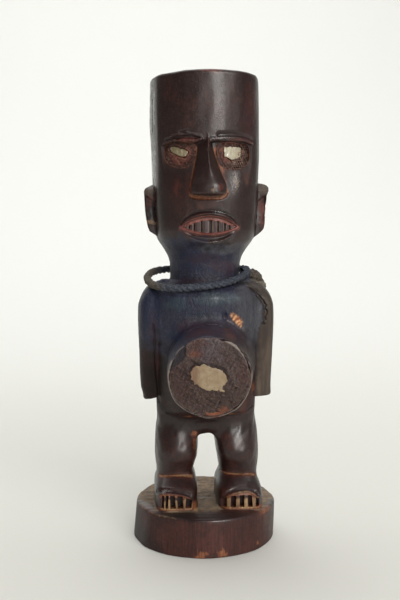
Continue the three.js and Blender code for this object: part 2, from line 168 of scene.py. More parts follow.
# %% Cord node tree
def twisted_cord_tree():
    """Sweeps a lobed section along a curve, turning it on the way, and roughens the surface."""
    tree, given, out = geometry_tree("twisted_cord", Radius="Float", Turns="Float", Crust="Float",
                                     Material="Material")
    resampled = add_node(tree, "GeometryNodeResampleCurve", {"mode": "LENGTH"},
                         Curve=given["Geometry"], Length=CORD_STEP * MM)
    along = tree.nodes.new("GeometryNodeSplineParameter").outputs["Factor"]
    turns = math_node(tree, "MULTIPLY", along, given["Turns"])
    turned = math_node(tree, "MULTIPLY", turns, 2 * math.pi)
    tilted = add_node(tree, "GeometryNodeSetCurveTilt", Curve=resampled.outputs[0], Tilt=turned)
    ring = add_node(tree, "GeometryNodeCurvePrimitiveCircle", Resolution=RING_POINTS,
                    Radius=given["Radius"])
    spot = tree.nodes.new("GeometryNodeInputPosition").outputs[0]
    split = add_node(tree, "ShaderNodeSeparateXYZ", _0=spot).outputs
    angle = math_node(tree, "ARCTAN2", split[1], split[0])
    wave = math_node(tree, "COSINE", math_node(tree, "MULTIPLY", angle, PLIES / 2))
    lobe = math_node(tree, "MULTIPLY_ADD", math_node(tree, "ABSOLUTE", wave), PLY_HEIGHT, PLY_FLOOR)
    lobed = add_node(tree, "ShaderNodeVectorMath", {"operation": "SCALE"}, _0=spot, Scale=lobe)
    section = add_node(tree, "GeometryNodeSetPosition", Geometry=ring.outputs[0],
                       Position=lobed.outputs[0])
    swept = add_node(tree, "GeometryNodeCurveToMesh", Curve=tilted.outputs[0],
                     Profile_Curve=section.outputs[0], Fill_Caps=True)
    here = tree.nodes.new("GeometryNodeInputPosition").outputs[0]
    lumps = add_node(tree, "ShaderNodeTexNoise", Vector=here, Scale=420.0, Detail=3.0, Roughness=0.6)
    push = math_node(tree, "MULTIPLY", math_node(tree, "SUBTRACT", lumps.outputs[0], 0.5), given["Crust"])
    outward = tree.nodes.new("GeometryNodeInputNormal").outputs[0]
    offset = add_node(tree, "ShaderNodeVectorMath", {"operation": "SCALE"}, _0=outward, Scale=push)
    crusted = add_node(tree, "GeometryNodeSetPosition", Geometry=swept.outputs[0],
                       Offset=offset.outputs[0])
    smooth = add_node(tree, "GeometryNodeSetShadeSmooth", Geometry=crusted.outputs[0])
    real = add_node(tree, "GeometryNodeRealizeInstances", Geometry=smooth.outputs[0])
    dressed = add_node(tree, "GeometryNodeSetMaterial", Geometry=real.outputs[0],
                       Material=given["Material"])
    tree.links.new(dressed.outputs[0], out)
    return tree


def grown(base, tree, name, values):
    """Runs a node tree on an object with the given named inputs and keeps the result as a mesh."""
    modifier = base.modifiers.new(tree.name, "NODES")
    modifier.node_group = tree
    sockets = {item.name: item.identifier for item in tree.interface.items_tree if item.in_out == "INPUT"}
    for key, value in values.items():
        modifier[sockets[key]] = value
    bpy.context.view_layer.update()
    ready = base.evaluated_get(bpy.context.evaluated_depsgraph_get())
    mesh = bpy.data.meshes.new_from_object(ready, preserve_all_data_layers=True,
                                           depsgraph=bpy.context.evaluated_depsgraph_get())
    mesh.name = name
    bpy.data.objects.remove(base)
    made = bpy.data.objects.new(name, mesh)
    scene.collection.objects.link(made)
    return made


# %% Make the cord
materials = {name: bpy.data.materials.new(name) for name in (
    "oiled_carved_wood", "charge_resin", "eye_paste", "belly_glass", "eye_glass", "crusted_cord")}
for material in materials.values():
    material.use_nodes = True


def route_curve(name, points):
    """A curve object through points in millimetres."""
    curve = bpy.data.curves.new(name, "CURVE")
    curve.dimensions = "3D"
    spline = curve.splines.new("POLY")
    spline.points.add(len(points) - 1)
    for place, point in zip(spline.points, points):
        place.co = (*(point * MM), 1)
    made = bpy.data.objects.new(name, curve)
    scene.collection.objects.link(made)
    return made


neck_rope = grown(route_curve("cord_route", cord_line), twisted_cord_tree(), "neck_rope", {
    "Radius": CORD_DIAMETER / 2 * MM, "Turns": cord_length / CORD_PITCH, "Crust": CORD_CRUST * MM,
    "Material": materials["crusted_cord"]})
print("cord", triangles(neck_rope.data), "triangles")

# %% [markdown]
# ## Clay: shapes as distances
# The wood is one continuous carved surface, with soft joins in some places and knife-sharp cuts in
# others. It could be built from polygons and booleans, but each join would then show. Here every shape
# is a function that tells how far a point is from its surface. Shapes are pressed together or carved
# away with a chosen softness, and a grid of points finds the skin where the distance is zero.

# %% Joining and carving distances
def blend_in(a, b, soft):
    """Both shapes together, their join filled softly."""
    step = np.clip(soft - np.abs(a - b), 0, None)
    return np.minimum(a, b) - step * step / (4 * soft)


def meet(a, b, soft):
    """Only what both shapes share, its edge rounded."""
    return -blend_in(-a, -b, soft)


def carve_out(a, b, soft):
    """The first shape with the second one cut away."""
    return -blend_in(-a, b, soft)


def through(*stations):
    """A smooth curve through (level, value) stations that never overshoots them."""
    level = np.array([s[0] for s in stations], float)
    value = np.array([s[1] for s in stations], float)
    rise = np.diff(value) / np.diff(level)
    slope = np.zeros(len(level))
    same_way = rise[:-1] * rise[1:] > 0
    total = np.where(same_way, rise[:-1] + rise[1:], 1)
    slope[1:-1] = np.where(same_way, 2 * rise[:-1] * rise[1:] / total, 0)
    fine = np.linspace(level[0], level[-1], 500)
    i = np.clip(np.searchsorted(level, fine, side="right") - 1, 0, len(rise) - 1)
    span = level[i + 1] - level[i]
    t = (fine - level[i]) / span
    a, b, up = slope[i] * span, slope[i + 1] * span, value[i + 1] - value[i]
    table = value[i] + t * (a + t * (3 * up - 2 * a - b + t * (a + b - 2 * up)))
    return lambda at: np.interp(at, fine, table)


def ramp(low, high, value):
    """0 at low, 1 at high, with a smooth rise or fall between them."""
    t = np.clip((value - low) / (high - low), 0, 1)
    return t * t * (3 - 2 * t)


def oval(x, y, half_width, front, back, power):
    """Distance to a rounded oval about the origin, squarer as power rises, front towards -Y."""
    depth = np.where(y < 0, front, back)
    reach = np.hypot(x, y)
    share = ((np.abs(x) / half_width) ** power + (np.abs(y) / depth) ** power) ** (1 / power)
    return reach * (1 - 1 / np.maximum(share, 0.05))


def ball(x, y, z, centre, radii):
    """Distance to a ball with a radius of its own along each axis."""
    parts = [(v - c) / r for v, c, r in zip((x, y, z), centre, radii)]
    reach = np.sqrt(sum(p * p for p in parts))
    return (reach - 1) * min(radii)


def stroke(a, b, points):
    """Distance in a flat plane to a line through the points."""
    best = np.full(a.shape, 1e3)
    for (a0, b0), (a1, b1) in zip(points[:-1], points[1:]):
        da, db = a1 - a0, b1 - b0
        t = np.clip(((a - a0) * da + (b - b0) * db) / (da * da + db * db), 0, 1)
        best = np.minimum(best, np.hypot(a - a0 - t * da, b - b0 - t * db))
    return best


def wobble(x, y, z, size, seed, waves=5):
    """A gentle irregularity between about -1 and 1, with hollows and humps of the given size."""
    dice = np.random.default_rng(seed)
    total = 0
    for _ in range(waves):
        way = dice.normal(size=3)
        way *= 2 * math.pi * dice.uniform(0.7, 1.4) / (size * np.linalg.norm(way))
        total = total + np.sin(way[0] * x + way[1] * y + way[2] * z + dice.uniform(0, 2 * math.pi))
    return total / math.sqrt(waves)


class Clay:
    """Points in space with their distance to the surface; shapes are added or cut one by one."""

    def __init__(self, x, y, z):
        self.x, self.y, self.z = x, y, z
        self.d = np.full(x.shape, 1e3)

    def within(self, low, high):
        keep = np.ones(self.x.shape, bool)
        for v, lo, hi in zip((self.x, self.y, self.z), low, high):
            keep &= (v > lo) & (v < hi)
        return keep

    def work(self, how, shape, soft, box):
        """Applies blend_in, meet or carve_out inside a box. The softness may depend on the place."""
        keep = self.within(*box)
        if keep.any():
            here = self.x[keep], self.y[keep], self.z[keep]
            self.d[keep] = how(self.d[keep], shape(*here), soft(*here) if callable(soft) else soft)

    def press(self, depth, box):
        """Pushes the surface in by a depth that the function gives (out where it is negative)."""
        keep = self.within(*box)
        if keep.any():
            self.d[keep] += depth(self.x[keep], self.y[keep], self.z[keep])

    def score(self, line, radius, box, soft, proud=False):
        """Draws a groove, or a proud bead, along (x, z) points or where a line function is zero."""
        keep = self.within(*box)
        if keep.any():
            here = self.x[keep], self.y[keep], self.z[keep]
            aside = line(*here) if callable(line) else stroke(here[0], here[2], line)
            tube = np.hypot(aside, self.d[keep]) - radius
            self.d[keep] = (blend_in if proud else carve_out)(self.d[keep], tube, soft)


def straying(points, amount, size, seed, one_side=False):
    """A line through (x, z) points that strays, for score()."""
    def line(x, y, z):
        stray = wobble(x, y, z, size, seed)
        return stroke(x, z, points) + amount * (np.maximum(0, stray) if one_side else stray)
    return line


# %% [markdown]
# ## From distance to skin
# A full grid at half a millimetre would hold ten million points, so a coarse pass first finds the
# blocks that the surface crosses. In each crossed cell one point is put at the middle of the
# crossings, and cells that share a crossed edge are joined by a four-sided face. The points are then
# slid onto the exact surface along its slope.

# %% The skinning functions
BLOCK = 4
SEARCH_SHARE, SEARCH_REACH = 1.5, 1.2  # how near the surface a block has to be to be worked out
LONGEST_SLIDE, LEAST_SLOPE = 0.3, 0.05


def grid_line(*stretches):
    """Grid levels over stretches of (start, end, step), padded to whole blocks."""
    levels = [stretches[0][0]]
    for start, end, step in stretches:
        count = max(1, round((end - start) / (step * 1)))
        levels.extend(np.linspace(start, end, count + 1)[1:])
    step = levels[-1] - levels[-2]
    while (len(levels) - 1) % BLOCK:
        levels.append(levels[-1] + step)
    return np.array(levels)


def slope_of(shape, p, step=0.12):
    """The distance and its slope at each point."""
    here = shape(*p.T)
    slope = np.empty_like(p)
    for axis in range(3):
        shift = np.zeros(3)
        shift[axis] = step
        slope[:, axis] = (shape(*(p + shift).T) - shape(*(p - shift).T)) / (2 * step)
    return here, slope


def skin(shape, lines, slides=2):
    """Points and four-sided faces of the surface where shape(x, y, z) is zero."""
    middles = [(v[:-1:BLOCK] + v[BLOCK::BLOCK]) / 2 for v in lines]
    halves = [(v[BLOCK::BLOCK] - v[:-1:BLOCK]) / 2 for v in lines]
    coarse = np.meshgrid(*middles, indexing="ij")
    reach = np.sqrt(sum(h * h for h in np.meshgrid(*halves, indexing="ij")))
    rough = shape(*(c.ravel() for c in coarse)).reshape(coarse[0].shape)
    crossed = np.abs(rough) < SEARCH_SHARE * reach + SEARCH_REACH
    shape_of_grid = tuple(len(v) for v in lines)
    spread = [np.minimum(np.arange(n) // BLOCK, m - 1) for n, m in zip(shape_of_grid, rough.shape)]
    values = np.where(rough < 0, -9.0, 9.0).astype(np.float32)[np.ix_(*spread)]
    wanted = np.zeros(shape_of_grid, bool)
    corner = [(i, j, k) for i in (0, 1) for j in (0, 1) for k in (0, 1)]
    for shift in corner:
        back = [np.clip((np.arange(n) - d) // BLOCK, 0, m - 1)
                for n, d, m in zip(shape_of_grid, shift, rough.shape)]
        wanted |= crossed[np.ix_(*back)]
    at = np.nonzero(wanted)
    values[at] = shape(*(v[i] for v, i in zip(lines, at)))

    inside = values < 0
    cells = tuple(n - 1 for n in shape_of_grid)
    filled = sum(inside[i:i + cells[0], j:j + cells[1], k:k + cells[2]].astype(np.uint8)
                 for i, j, k in corner)
    mixed = (filled > 0) & (filled < 8)
    number = np.full(cells, -1, np.int32)
    cell = np.nonzero(mixed)
    number[cell] = np.arange(len(cell[0]))
    total = np.zeros((len(cell[0]), 3))
    hits = np.zeros(len(cell[0]))
    for a in corner:
        for axis in range(3):
            if a[axis]:
                continue
            b = tuple(v + (axis == w) for w, v in enumerate(a))
            va = values[tuple(c + o for c, o in zip(cell, a))]
            vb = values[tuple(c + o for c, o in zip(cell, b))]
            hit = (va < 0) != (vb < 0)
            t = va[hit] / (va[hit] - vb[hit])
            place = np.array(a, float) + t[:, None] * (np.array(b) - np.array(a))
            total[hit] += place
            hits[hit] += 1
    share = total / hits[:, None]
    points = np.column_stack([v[c] + share[:, w] * (v[c + 1] - v[c])
                              for w, (v, c) in enumerate(zip(lines, cell))])
    faces = []
    for axis in range(3):
        u, v = (axis + 1) % 3, (axis + 2) % 3
        low = [slice(1, n - 1) for n in shape_of_grid]
        high = list(low)
        low[axis] = slice(0, shape_of_grid[axis] - 1)
        high[axis] = slice(1, shape_of_grid[axis])
        first, second = inside[tuple(low)], inside[tuple(high)]
        for start, order in ((first & ~second, 1), (~first & second, -1)):
            edge = list(np.nonzero(start))
            edge = [e + (0 if w == axis else 1) for w, e in enumerate(edge)]
            ring = []
            for du, dv in ((-1, -1), (0, -1), (0, 0), (-1, 0)):
                spot = list(edge)
                spot[u] = edge[u] + du
                spot[v] = edge[v] + dv
                ring.append(number[tuple(spot)])
            faces.append(np.column_stack(ring[::order]))
    faces = np.vstack(faces)
    faces = faces[(faces >= 0).all(axis=1)]
    for _ in range(slides):
        here, slope = slope_of(shape, points)
        push = -(here / np.maximum((slope ** 2).sum(axis=1), LEAST_SLOPE))[:, None] * slope
        size = np.linalg.norm(push, axis=1)[:, None]
        points += push * np.minimum(1, LONGEST_SLIDE / np.maximum(size, 1e-6))
    return points, faces


def thinned(made, most):
    """Collapses the flattest parts of a mesh until it has at most this many triangles."""
    count = triangles(made.data)
    if count > most:
        modifier = made.modifiers.new("thin_out", "DECIMATE")
        modifier.ratio = most / count
        ready = made.evaluated_get(bpy.context.evaluated_depsgraph_get())
        made.data = bpy.data.meshes.new_from_object(ready)
        made.modifiers.clear()
    return made


def points_of(mesh):
    """The mesh's points in millimetres."""
    flat = np.empty(len(mesh.vertices) * 3, np.float32)
    mesh.vertices.foreach_get("co", flat)
    return flat.reshape(-1, 3).astype(float) / MM


def finished(made, shape):
    """Smooth shading with the exact slope of the shape at each point. Returns points and normals."""
    p = points_of(made.data)
    _, slope = slope_of(shape, p)
    normals = slope / np.maximum(np.linalg.norm(slope, axis=1), 1e-6)[:, None]
    made.data.shade_smooth()
    made.data.normals_split_custom_set_from_vertices(normals.tolist())
    return p, normals


def store(made, **marks):
    """Keeps one number per mark for each point of the mesh, for its material to read."""
    for name, values in marks.items():
        layer = made.data.attributes.new(name, "FLOAT", "POINT")
        layer.data.foreach_set("value", np.clip(values, 0, 1).astype(np.float32))


# %% [markdown]
# ## Base, legs and feet
# The carver left a thick round base, a little wider at the bottom, and stood two short heavy legs on
# it. Each foot is a box with a narrow ankle above it. The toes are not modelled one by one: five
# upright slots under an arched lip leave the bars between them standing.

# %% Base, legs and feet
BASE_HEIGHT = 22.6
BASE_TOP, BASE_UNDER = 42.8, 43.4
BASE_LEAN = -1.1
FOOT_X = (-18.9, 20.0)
TOE_FRONT = 26.4
SLOT_DEPTH = 5.4
leg_middle = (
    through((20, -18.7), (33, -18.9), (39, -18.6), (43.2, -19.1), (50, -18.5), (57, -18.2), (82, -18)),
    through((20, 20.1), (30, 20), (34, 19.8), (38, 19.6), (42, 20.1), (47, 20.1), (54.5, 19.6), (63, 18.8),
            (82, 18)))
leg_half = (
    through((20, 13.1), (31, 13), (35, 12.8), (39, 12), (43, 11.4), (47, 12.2), (52, 13.1), (57, 13.3),
            (66, 13), (82, 11)),
    through((20, 13.9), (30, 13.9), (34, 13.3), (38, 12.1), (41.5, 11.7), (47, 12.4), (54.5, 13.2),
            (63, 13.5), (82, 12)))
leg_front = through(
    (20, 26.7), (30.6, 26.4), (33, 25.6), (35, 23.8), (37.6, 19.8), (39.8, 16.4), (41.2, 14.6), (46, 15.7),
    (51, 17.4), (55, 17.9), (60, 16.9), (67, 14.7), (74, 13), (82, 11))
leg_back = through((21, 18), (30, 18.2), (41, 15), (55, 17.4), (68, 17), (80, 16))
leg_power = through((33.6, 4.6), (41, 2.8), (57, 2.4))
LEG_BOTTOM, LEG_TOP = 19, 82  # both ends are hidden, in the base and in the torso


def base_shape(x, y, z):
    """The round base, wider below, with a worn top."""
    low = 1 - z / BASE_HEIGHT
    wall = np.hypot(x - BASE_LEAN * low, y) - BASE_TOP - (BASE_UNDER - BASE_TOP) * low
    wall = wall + 0.22 * wobble(x, y, z / 3, 22, 3)
    top = z - BASE_HEIGHT + 0.16 * wobble(x, y, 0, 19, 4) + 0.12 * wobble(x * 0.2, y, 0, 5, 5)
    return meet(meet(wall, top, 1.5), -z, 0.9)


def leg_shape(side):
    """A leg with its foot, an oval that changes with the height. The left thigh turns a little."""
    def shape(x, y, z):
        across = x - leg_middle[side](z)
        twist = side * 0.14 * across * ramp(44, 54, z) * ramp(0, -8, y)
        d = oval(across, y - 0.5 - twist, leg_half[side](z), leg_front(z), leg_back(z), leg_power(z))
        return meet(d, np.maximum(LEG_BOTTOM - z, z - LEG_TOP), 1)
    return shape


# Slots as (middle, half width), and the arch over their tops.
SLOTS = (((-27.2, 0.55), (-24.9, 0.75), (-21.5, 1.55), (-17.0, 1.6), (-11.9, 1.8)),
         ((9.2, 1.7), (14.8, 1.5), (19.9, 1.35), (24.8, 1.35), (29.2, 0.9)))
slot_arch = (through((-32, 29.8), (-28, 31.8), (-22, 32), (-16, 31.2), (-9, 29)),
             through((7, 28.2), (11, 30.2), (18, 31.2), (25, 31.2), (31, 28.6)))
LIPS_OF_FEET = [
    [(-30.2, 31.4), (-28, 32.9), (-25.5, 33.2), (-20.1, 32.8), (-15.4, 32), (-11.6, 30.6)],
    [(9.6, 29.4), (12.1, 31.4), (15.1, 32.6), (18.7, 33.2), (22.3, 33.5), (25, 33.2), (27.2, 32),
     (29.6, 29.8)],
]
ANKLE_LINES = [
    [(-28.9, 39.9), (-24.5, 40.6), (-19.6, 40.9), (-15.4, 40.9), (-11.8, 40.4), (-8.9, 39.7)],
    [(9.0, 41.3), (13.9, 41.1), (20.0, 40.9), (26.1, 40.7), (29, 40.1)],
]


def toe_slots(side):
    """The slots that part the toes, their tops under an arch."""
    def shape(x, y, z):
        best = np.full(x.shape, 1e3)
        for middle, half in SLOTS[side]:
            lean = 0.3 * np.sin(3 * middle)
            across = np.abs(x - middle - lean * (z - 28) / 5) - half * (1.06 - 0.02 * (z - 24))
            ends = np.maximum(24.1 - z, z - slot_arch[side](x))
            best = np.minimum(best, meet(across, ends, 0.5))
        return np.maximum(best, y + TOE_FRONT - SLOT_DEPTH)
    return shape


def model_base_and_legs(clay):
    clay.work(blend_in, base_shape, 0.5, ((-99, -99, -99), (99, 99, 99)))
    for side, middle in enumerate(FOOT_X):
        box = ((middle - 20, -34, 14), (middle + 20, 26, 92))
        clay.work(blend_in, leg_shape(side), 0.9, box)
        toe_box = ((middle - 17, -32, 23.2), (middle + 17, -18, 38))
        over_lip = [(a, b + 1.5) for a, b in LIPS_OF_FEET[side]]
        ankle_box = ((middle - 15, -22, 37), (middle + 15, -4, 44))
        clay.score(over_lip, 0.7, toe_box, 1.5)
        clay.score(LIPS_OF_FEET[side], 0.5, toe_box, 0.5, proud=True)
        clay.work(carve_out, toe_slots(side), 0.35, toe_box)
        clay.score(ANKLE_LINES[side], 0.4, ankle_box, 0.35)


# %% [markdown]
# ## Torso, arms and belly drum
# The torso is a squared oval, and the arms are slabs that hang against it and end cut off flat. A
# crease runs where they meet. The belly swells forward into a short drum with a flat front, which is
# hollowed to hold the charge.

# %% Torso, arms and drum
TORSO_BOTTOM, TORSO_TOP = 65, 158.8
ARM_INNER, ARM_TOP = 24.0, 158.4
DRUM_FRONT, DRUM_ROOT = 54.0, 18.0
DRUM_X, DRUM_Z = -1.6, 108.3
DRUM_HALVES = (23.8, 22.8)  # half its width and height, at its front
ROOT_GROWTH, ROOT_SHIFT = (2, 5.4), (4.2, 3.9)  # how its root is bigger and where it lies, to x and z
CHARGE_RADIUS, CHARGE_DEPTH = 22.4, 2.8

torso_half = through(
    (65, 22.5), (68, 27), (72, 29.2), (80, 30.2), (100, 30.6), (148, 31.6), (153, 30.6), (156.5, 28.6),
    (158.8, 25))
torso_front = through(
    (65, 9), (68, 10.4), (73, 12), (77, 15), (81, 18.2), (87, 19.8), (100, 23.6), (120, 26.3), (140, 27.4),
    (149, 27.2), (153, 25.6), (156, 22.6), (158.8, 17.5))
torso_back = through(
    (65, 14), (70, 17.5), (80, 20.4), (96, 17.4), (120, 18.6), (142, 20.6), (151, 19.4), (156, 15.5),
    (158.8, 11))
drum_swell = through((0, 0), (0.55, 0.34), (1, 1))
UNDER_BELLY = [(-24, 79.5), (-16, 76.4), (-8.9, 75), (4.9, 76.3), (14, 77.6), (20.6, 78.9), (27, 82)]
SHOULDER_CRACK = [
    (26, 154.2), (27.3, 153), (29.3, 151.1), (31.4, 148.8), (32.9, 146.3), (34.1, 143.6), (34.7, 141),
    (34.3, 137.6), (33.2, 134.6)]
RIGHT_CREASE = [(-32.6, 134), (-32, 131.3), (-31.4, 118), (-30.3, 103), (-29.3, 92), (-29, 86)]


def torso_shape(x, y, z):
    """A squared oval, deeper in front towards the chest."""
    d = oval(x, y, torso_half(z), torso_front(z), torso_back(z), 3)
    return meet(d, np.maximum(TORSO_BOTTOM - z, z - TORSO_TOP), 2.2)


def arm_shape(side):
    """A slab with its inner side against the torso and its lower end cut off aslant."""
    sign = (-1, 1)[side]
    bottom = (87.6, 88.4)[side]
    outer = through((bottom, (38.5, 40.2)[side]), (95, 40), (115, 40.7), (136, 41.1), (144, 40.8),
                    (149, 39.4), (153, 37.2), (156.2, 34.4), (ARM_TOP, 30))
    front = through((bottom, 11.6), (115, 14), (140, 17.5), (149, 16.5), (154, 13.4), (ARM_TOP, 8))
    back = through((bottom, 13), (120, 15), (142, 17), (150, 15.4), (154, 12.6), (ARM_TOP, 8))
    slant = (0.22, -0.05)[side]

    def shape(x, y, z):
        middle = sign * (outer(z) + ARM_INNER) / 2
        d = oval(x - middle, y, (outer(z) - ARM_INNER) / 2, front(z), back(z), 3.4)
        end = bottom - z - slant * (sign * x - 34)
        return meet(meet(d, end, 1.4), z - ARM_TOP, 2)
    return shape


def drum_shape(x, y, z):
    """A short drum that widens and rises towards its root, its front edge bevelled at the top."""
    depth = np.clip(-y, DRUM_ROOT - 6, DRUM_FRONT)
    t = drum_swell(np.clip((DRUM_FRONT - depth) / (DRUM_FRONT - DRUM_ROOT), 0, 1))
    a, b = x - DRUM_X - ROOT_SHIFT[0] * t, z - DRUM_Z - ROOT_SHIFT[1] * t
    reach = np.hypot(a, b)
    half_wide, half_high = (half + growth * t for half, growth in zip(DRUM_HALVES, ROOT_GROWTH))
    share = np.hypot(a / half_wide, b / half_high)
    wall = reach * (1 - 1 / np.maximum(share, 0.05)) + 0.25 * wobble(x, y / 2, z, 17, 11)
    front = -y - DRUM_FRONT + 0.2 * wobble(x, 0, z, 12, 12)
    upper = ramp(3, 12, b)
    bevel = 0.5 * (reach - 20.6) + 0.87 * front - 4 * (1 - upper)
    return meet(meet(meet(wall, front, 0.6), bevel, 1.2), y + 12, 1)


def charge_pit(x, y, z):
    """The recess that holds the charge."""
    a, b = x - DRUM_X, z - DRUM_Z
    reach = np.hypot(a, b * 1.035) - CHARGE_RADIUS + 0.2 * wobble(x, 0, z, 9, 13)
    return meet(reach, y + DRUM_FRONT - CHARGE_DEPTH, 0.3)


CHIP_MIDDLE = (17, -31, 136.5)
CHIP_HALVES = (5.3, 2, 5.5)  # along, across and into the wood
CHIP_COS, CHIP_SIN = 0.65, 0.76  # its long way runs down towards +x


def chip_shape(x, y, z):
    """Where a splinter broke away at the top of the belly's root."""
    right, up = x - CHIP_MIDDLE[0], z - CHIP_MIDDLE[2]
    along = right * CHIP_COS - up * CHIP_SIN
    across = right * CHIP_SIN + up * CHIP_COS
    share = sum((v / half) ** 2 for v, half in zip((along, across, y - CHIP_MIDDLE[1]), CHIP_HALVES))
    return np.sqrt(share) * 2.2 - 2.2 + 0.3 * wobble(x, y, z, 2.6, 17)


def crust_cover(x, y, z):
    """How far the thick crust covers the chest: 1 on it, 0 past its ragged edge."""
    stray = 1.6 * wobble(x, y, z, 7, 21) + 0.8 * wobble(x, y, z, 2.6, 22)
    left_limit = np.interp(z, (128, 134.6, 141, 146.3, 151, 155), (30, 32.4, 34, 32.2, 28.6, 24.4))
    left_edge = ramp(1.2, -1.2, x - left_limit + stray * 0.5)
    lower_limit = np.interp(x, (-41, -30, -24, -14, -2, 12, 21, 30, 40),
                            (128, 124, 118, 128, 135, 138, 133, 122, 138))
    lower_edge = ramp(-16, 8, z - lower_limit + 1.6 * stray)
    return left_edge * lower_edge * ramp(0, -6, y)


def hip_softness(x, y, z):
    """How softly the torso joins the legs."""
    return 1.2 + 5 * ramp(84, 74, z) * ramp(-4, -10, y)


def shoulder_softness(x, y, z):
    """How softly an arm joins the torso."""
    return 0.7 + 5.5 * ramp(118, 134, z) * ramp(0, -6, y)


def crust_depth(x, y, z):
    """The crust stands a little proud of the wood, unevenly."""
    uneven = 0.8 + 0.07 * wobble(x, y, z / 3, 4, 23) + 0.12 * wobble(x, y, z, 9, 24)
    return -0.5 * crust_cover(x, y, z) * uneven


def leg_facets(x, y, z):
    """The knife's flat strokes on the thighs, which break up their highlights."""
    return 0.08 * wobble(x, y, z / 1.5, 5.5, 43) * ramp(46, 50, z)


def hole_shape(x, y, z):
    """A small dent beside the chip."""
    return ball(x, y, z, (9.2, -27.4, 139.6), (2.2, 1.1, 3))


def model_torso(clay):
    clay.work(blend_in, torso_shape, hip_softness, ((-38, -36, 56), (38, 28, 166)))
    for side, box in enumerate((((-48, -25, 80), (-20, 24, 166)), ((20, -25, 80), (48, 24, 166)))):
        clay.work(blend_in, arm_shape(side), shoulder_softness, box)
    clay.work(blend_in, drum_shape, 2.6, ((-35, -62, 70), (37, -8, 150)))
    clay.work(carve_out, charge_pit, 0.4, ((-30, -60, 80), (28, -48, 136)))
    clay.press(leg_facets, ((-36, -26, 46), (36, -4, 80)))
    clay.score(UNDER_BELLY, 0.6, ((-30, -24, 70), (30, -8, 86)), 0.8)
    clay.score(RIGHT_CREASE, 0.7, ((-36, -24, 84), (-26, -4, 138)), 0.8)
    clay.score(straying(SHOULDER_CRACK, 0.45, 3, 8), 0.95, ((22, -26, 130), (38, -6, 157)), 0.5)
    clay.work(carve_out, hole_shape, 0.6, ((4, -32, 134), (14, -22, 145)))
    clay.work(carve_out, chip_shape, 1.1, ((6, -40, 128), (26, -20, 146)))
    clay.press(crust_depth, ((-44, -32, 108), (40, 2, 160)))


# %% [markdown]
# ## Head and face
# The head is a tall cylinder, a little wider at the top, whose face is flattened. Features are easiest
# to place on the face as heights over a curved sheet: the brow edge, the eye pits, the almond mouth with
# its bars of teeth. The nose stands too far out for that, so it is a wedge of its own, added after the
# face is cut back under the brow.

# %% Head and face values
HEAD_BOTTOM, HEAD_TOP = 150, 280
NOSE_UNDER, NOSE_TOP = 209.4, 244
NOSE_RISE = 6.6  # from its sides to its ridge
FACE_X = -1.4
FACE_ARC = 40.0
head_half = through(
    (150, 22), (163, 21.2), (169, 21.4), (173, 22.3), (177.5, 24.6), (184.5, 29.1), (190, 30.4),
    (205, 31.2), (228, 32), (254, 32.6), (275, 32.3), (279.2, 31.8), (280, 31.2))
head_front = through(
    (150, 22), (163, 21), (170, 21.6), (176, 24), (183, 28), (190, 30), (205, 30.6), (242.4, 32.4),
    (262, 32.9), (275, 33), (280, 33))
head_back = through(
    (150, 23), (163, 20.6), (172, 21.6), (182, 26.4), (198, 30), (225, 32), (255, 32.4), (275, 32),
    (280, 31.2))
head_x = through((163, -0.5), (190, -0.4), (228, -0.4), (254, -1))
head_power = through((172, 2), (190, 2.5), (240, 2.6), (280, 2.25))
brow_edge = through(
    (-29, 237), (-25, 238.6), (-20, 239.6), (-15, 239.2), (-10, 238.9), (-5.5, 239.6), (-2.5, 240.6),
    (-1, 240.2), (0.8, 239.7), (3, 240), (8, 240.3), (15, 240.4), (21, 240.2), (25, 239.2), (29, 237.4))
side_plane = through((150, 40), (186, 34), (200, 32.8), (224, 32.8), (255, 33.6), (280, 33.4))
under_brow = through((196, -1.2), (204, -0.3), (212, 0.9), (222, 2.6), (232, 3.9), (241, 4.7))
LEFT_BROW = [
    (-1.2, 236), (-1.1, 238.6), (-0.4, 240.1), (1.2, 240.9), (4, 241.2), (8, 241.5), (13, 241.7),
    (18, 241.6), (22, 241), (25, 239.8)]
LEFT_BROW_GROOVE = [(5.6, 243.2), (9, 243.5), (13, 243.7), (18, 243.3), (22, 242.2), (25.4, 240.8)]
RIGHT_CREST = [(-21.5, 242.4), (-17.8, 243.4), (-13, 243.9), (-9, 243.4), (-5.6, 242.2)]
RIGHT_GROOVE = [(-24.5, 240.8), (-18, 242.1), (-11.4, 242.2), (-6.4, 241.4)]
RIGHT_BROW = [(-25.5, 239.2), (-20.5, 240.5), (-15, 240.4), (-9, 240), (-5, 240.7)]
RIGHT_ARCH = [(-17, 245.2), (-13.4, 246.1), (-10, 245.4)]
EYES = ((-16.4, 231.8, 9.1, 7.1), (13.6, 231.9, 10, 7.6))  # middle x, z and half sizes of the pits
EYE_DEPTH = 3.0
EYE_TOP = 7.4  # the pits reach this far above their middles, under the brow
MOUTH_X, MOUTH_Z = 0.1, 191.5
MOUTH_HALF = 16.4
MOUTH_RISE, MOUTH_DROP = 5.9, 4.2
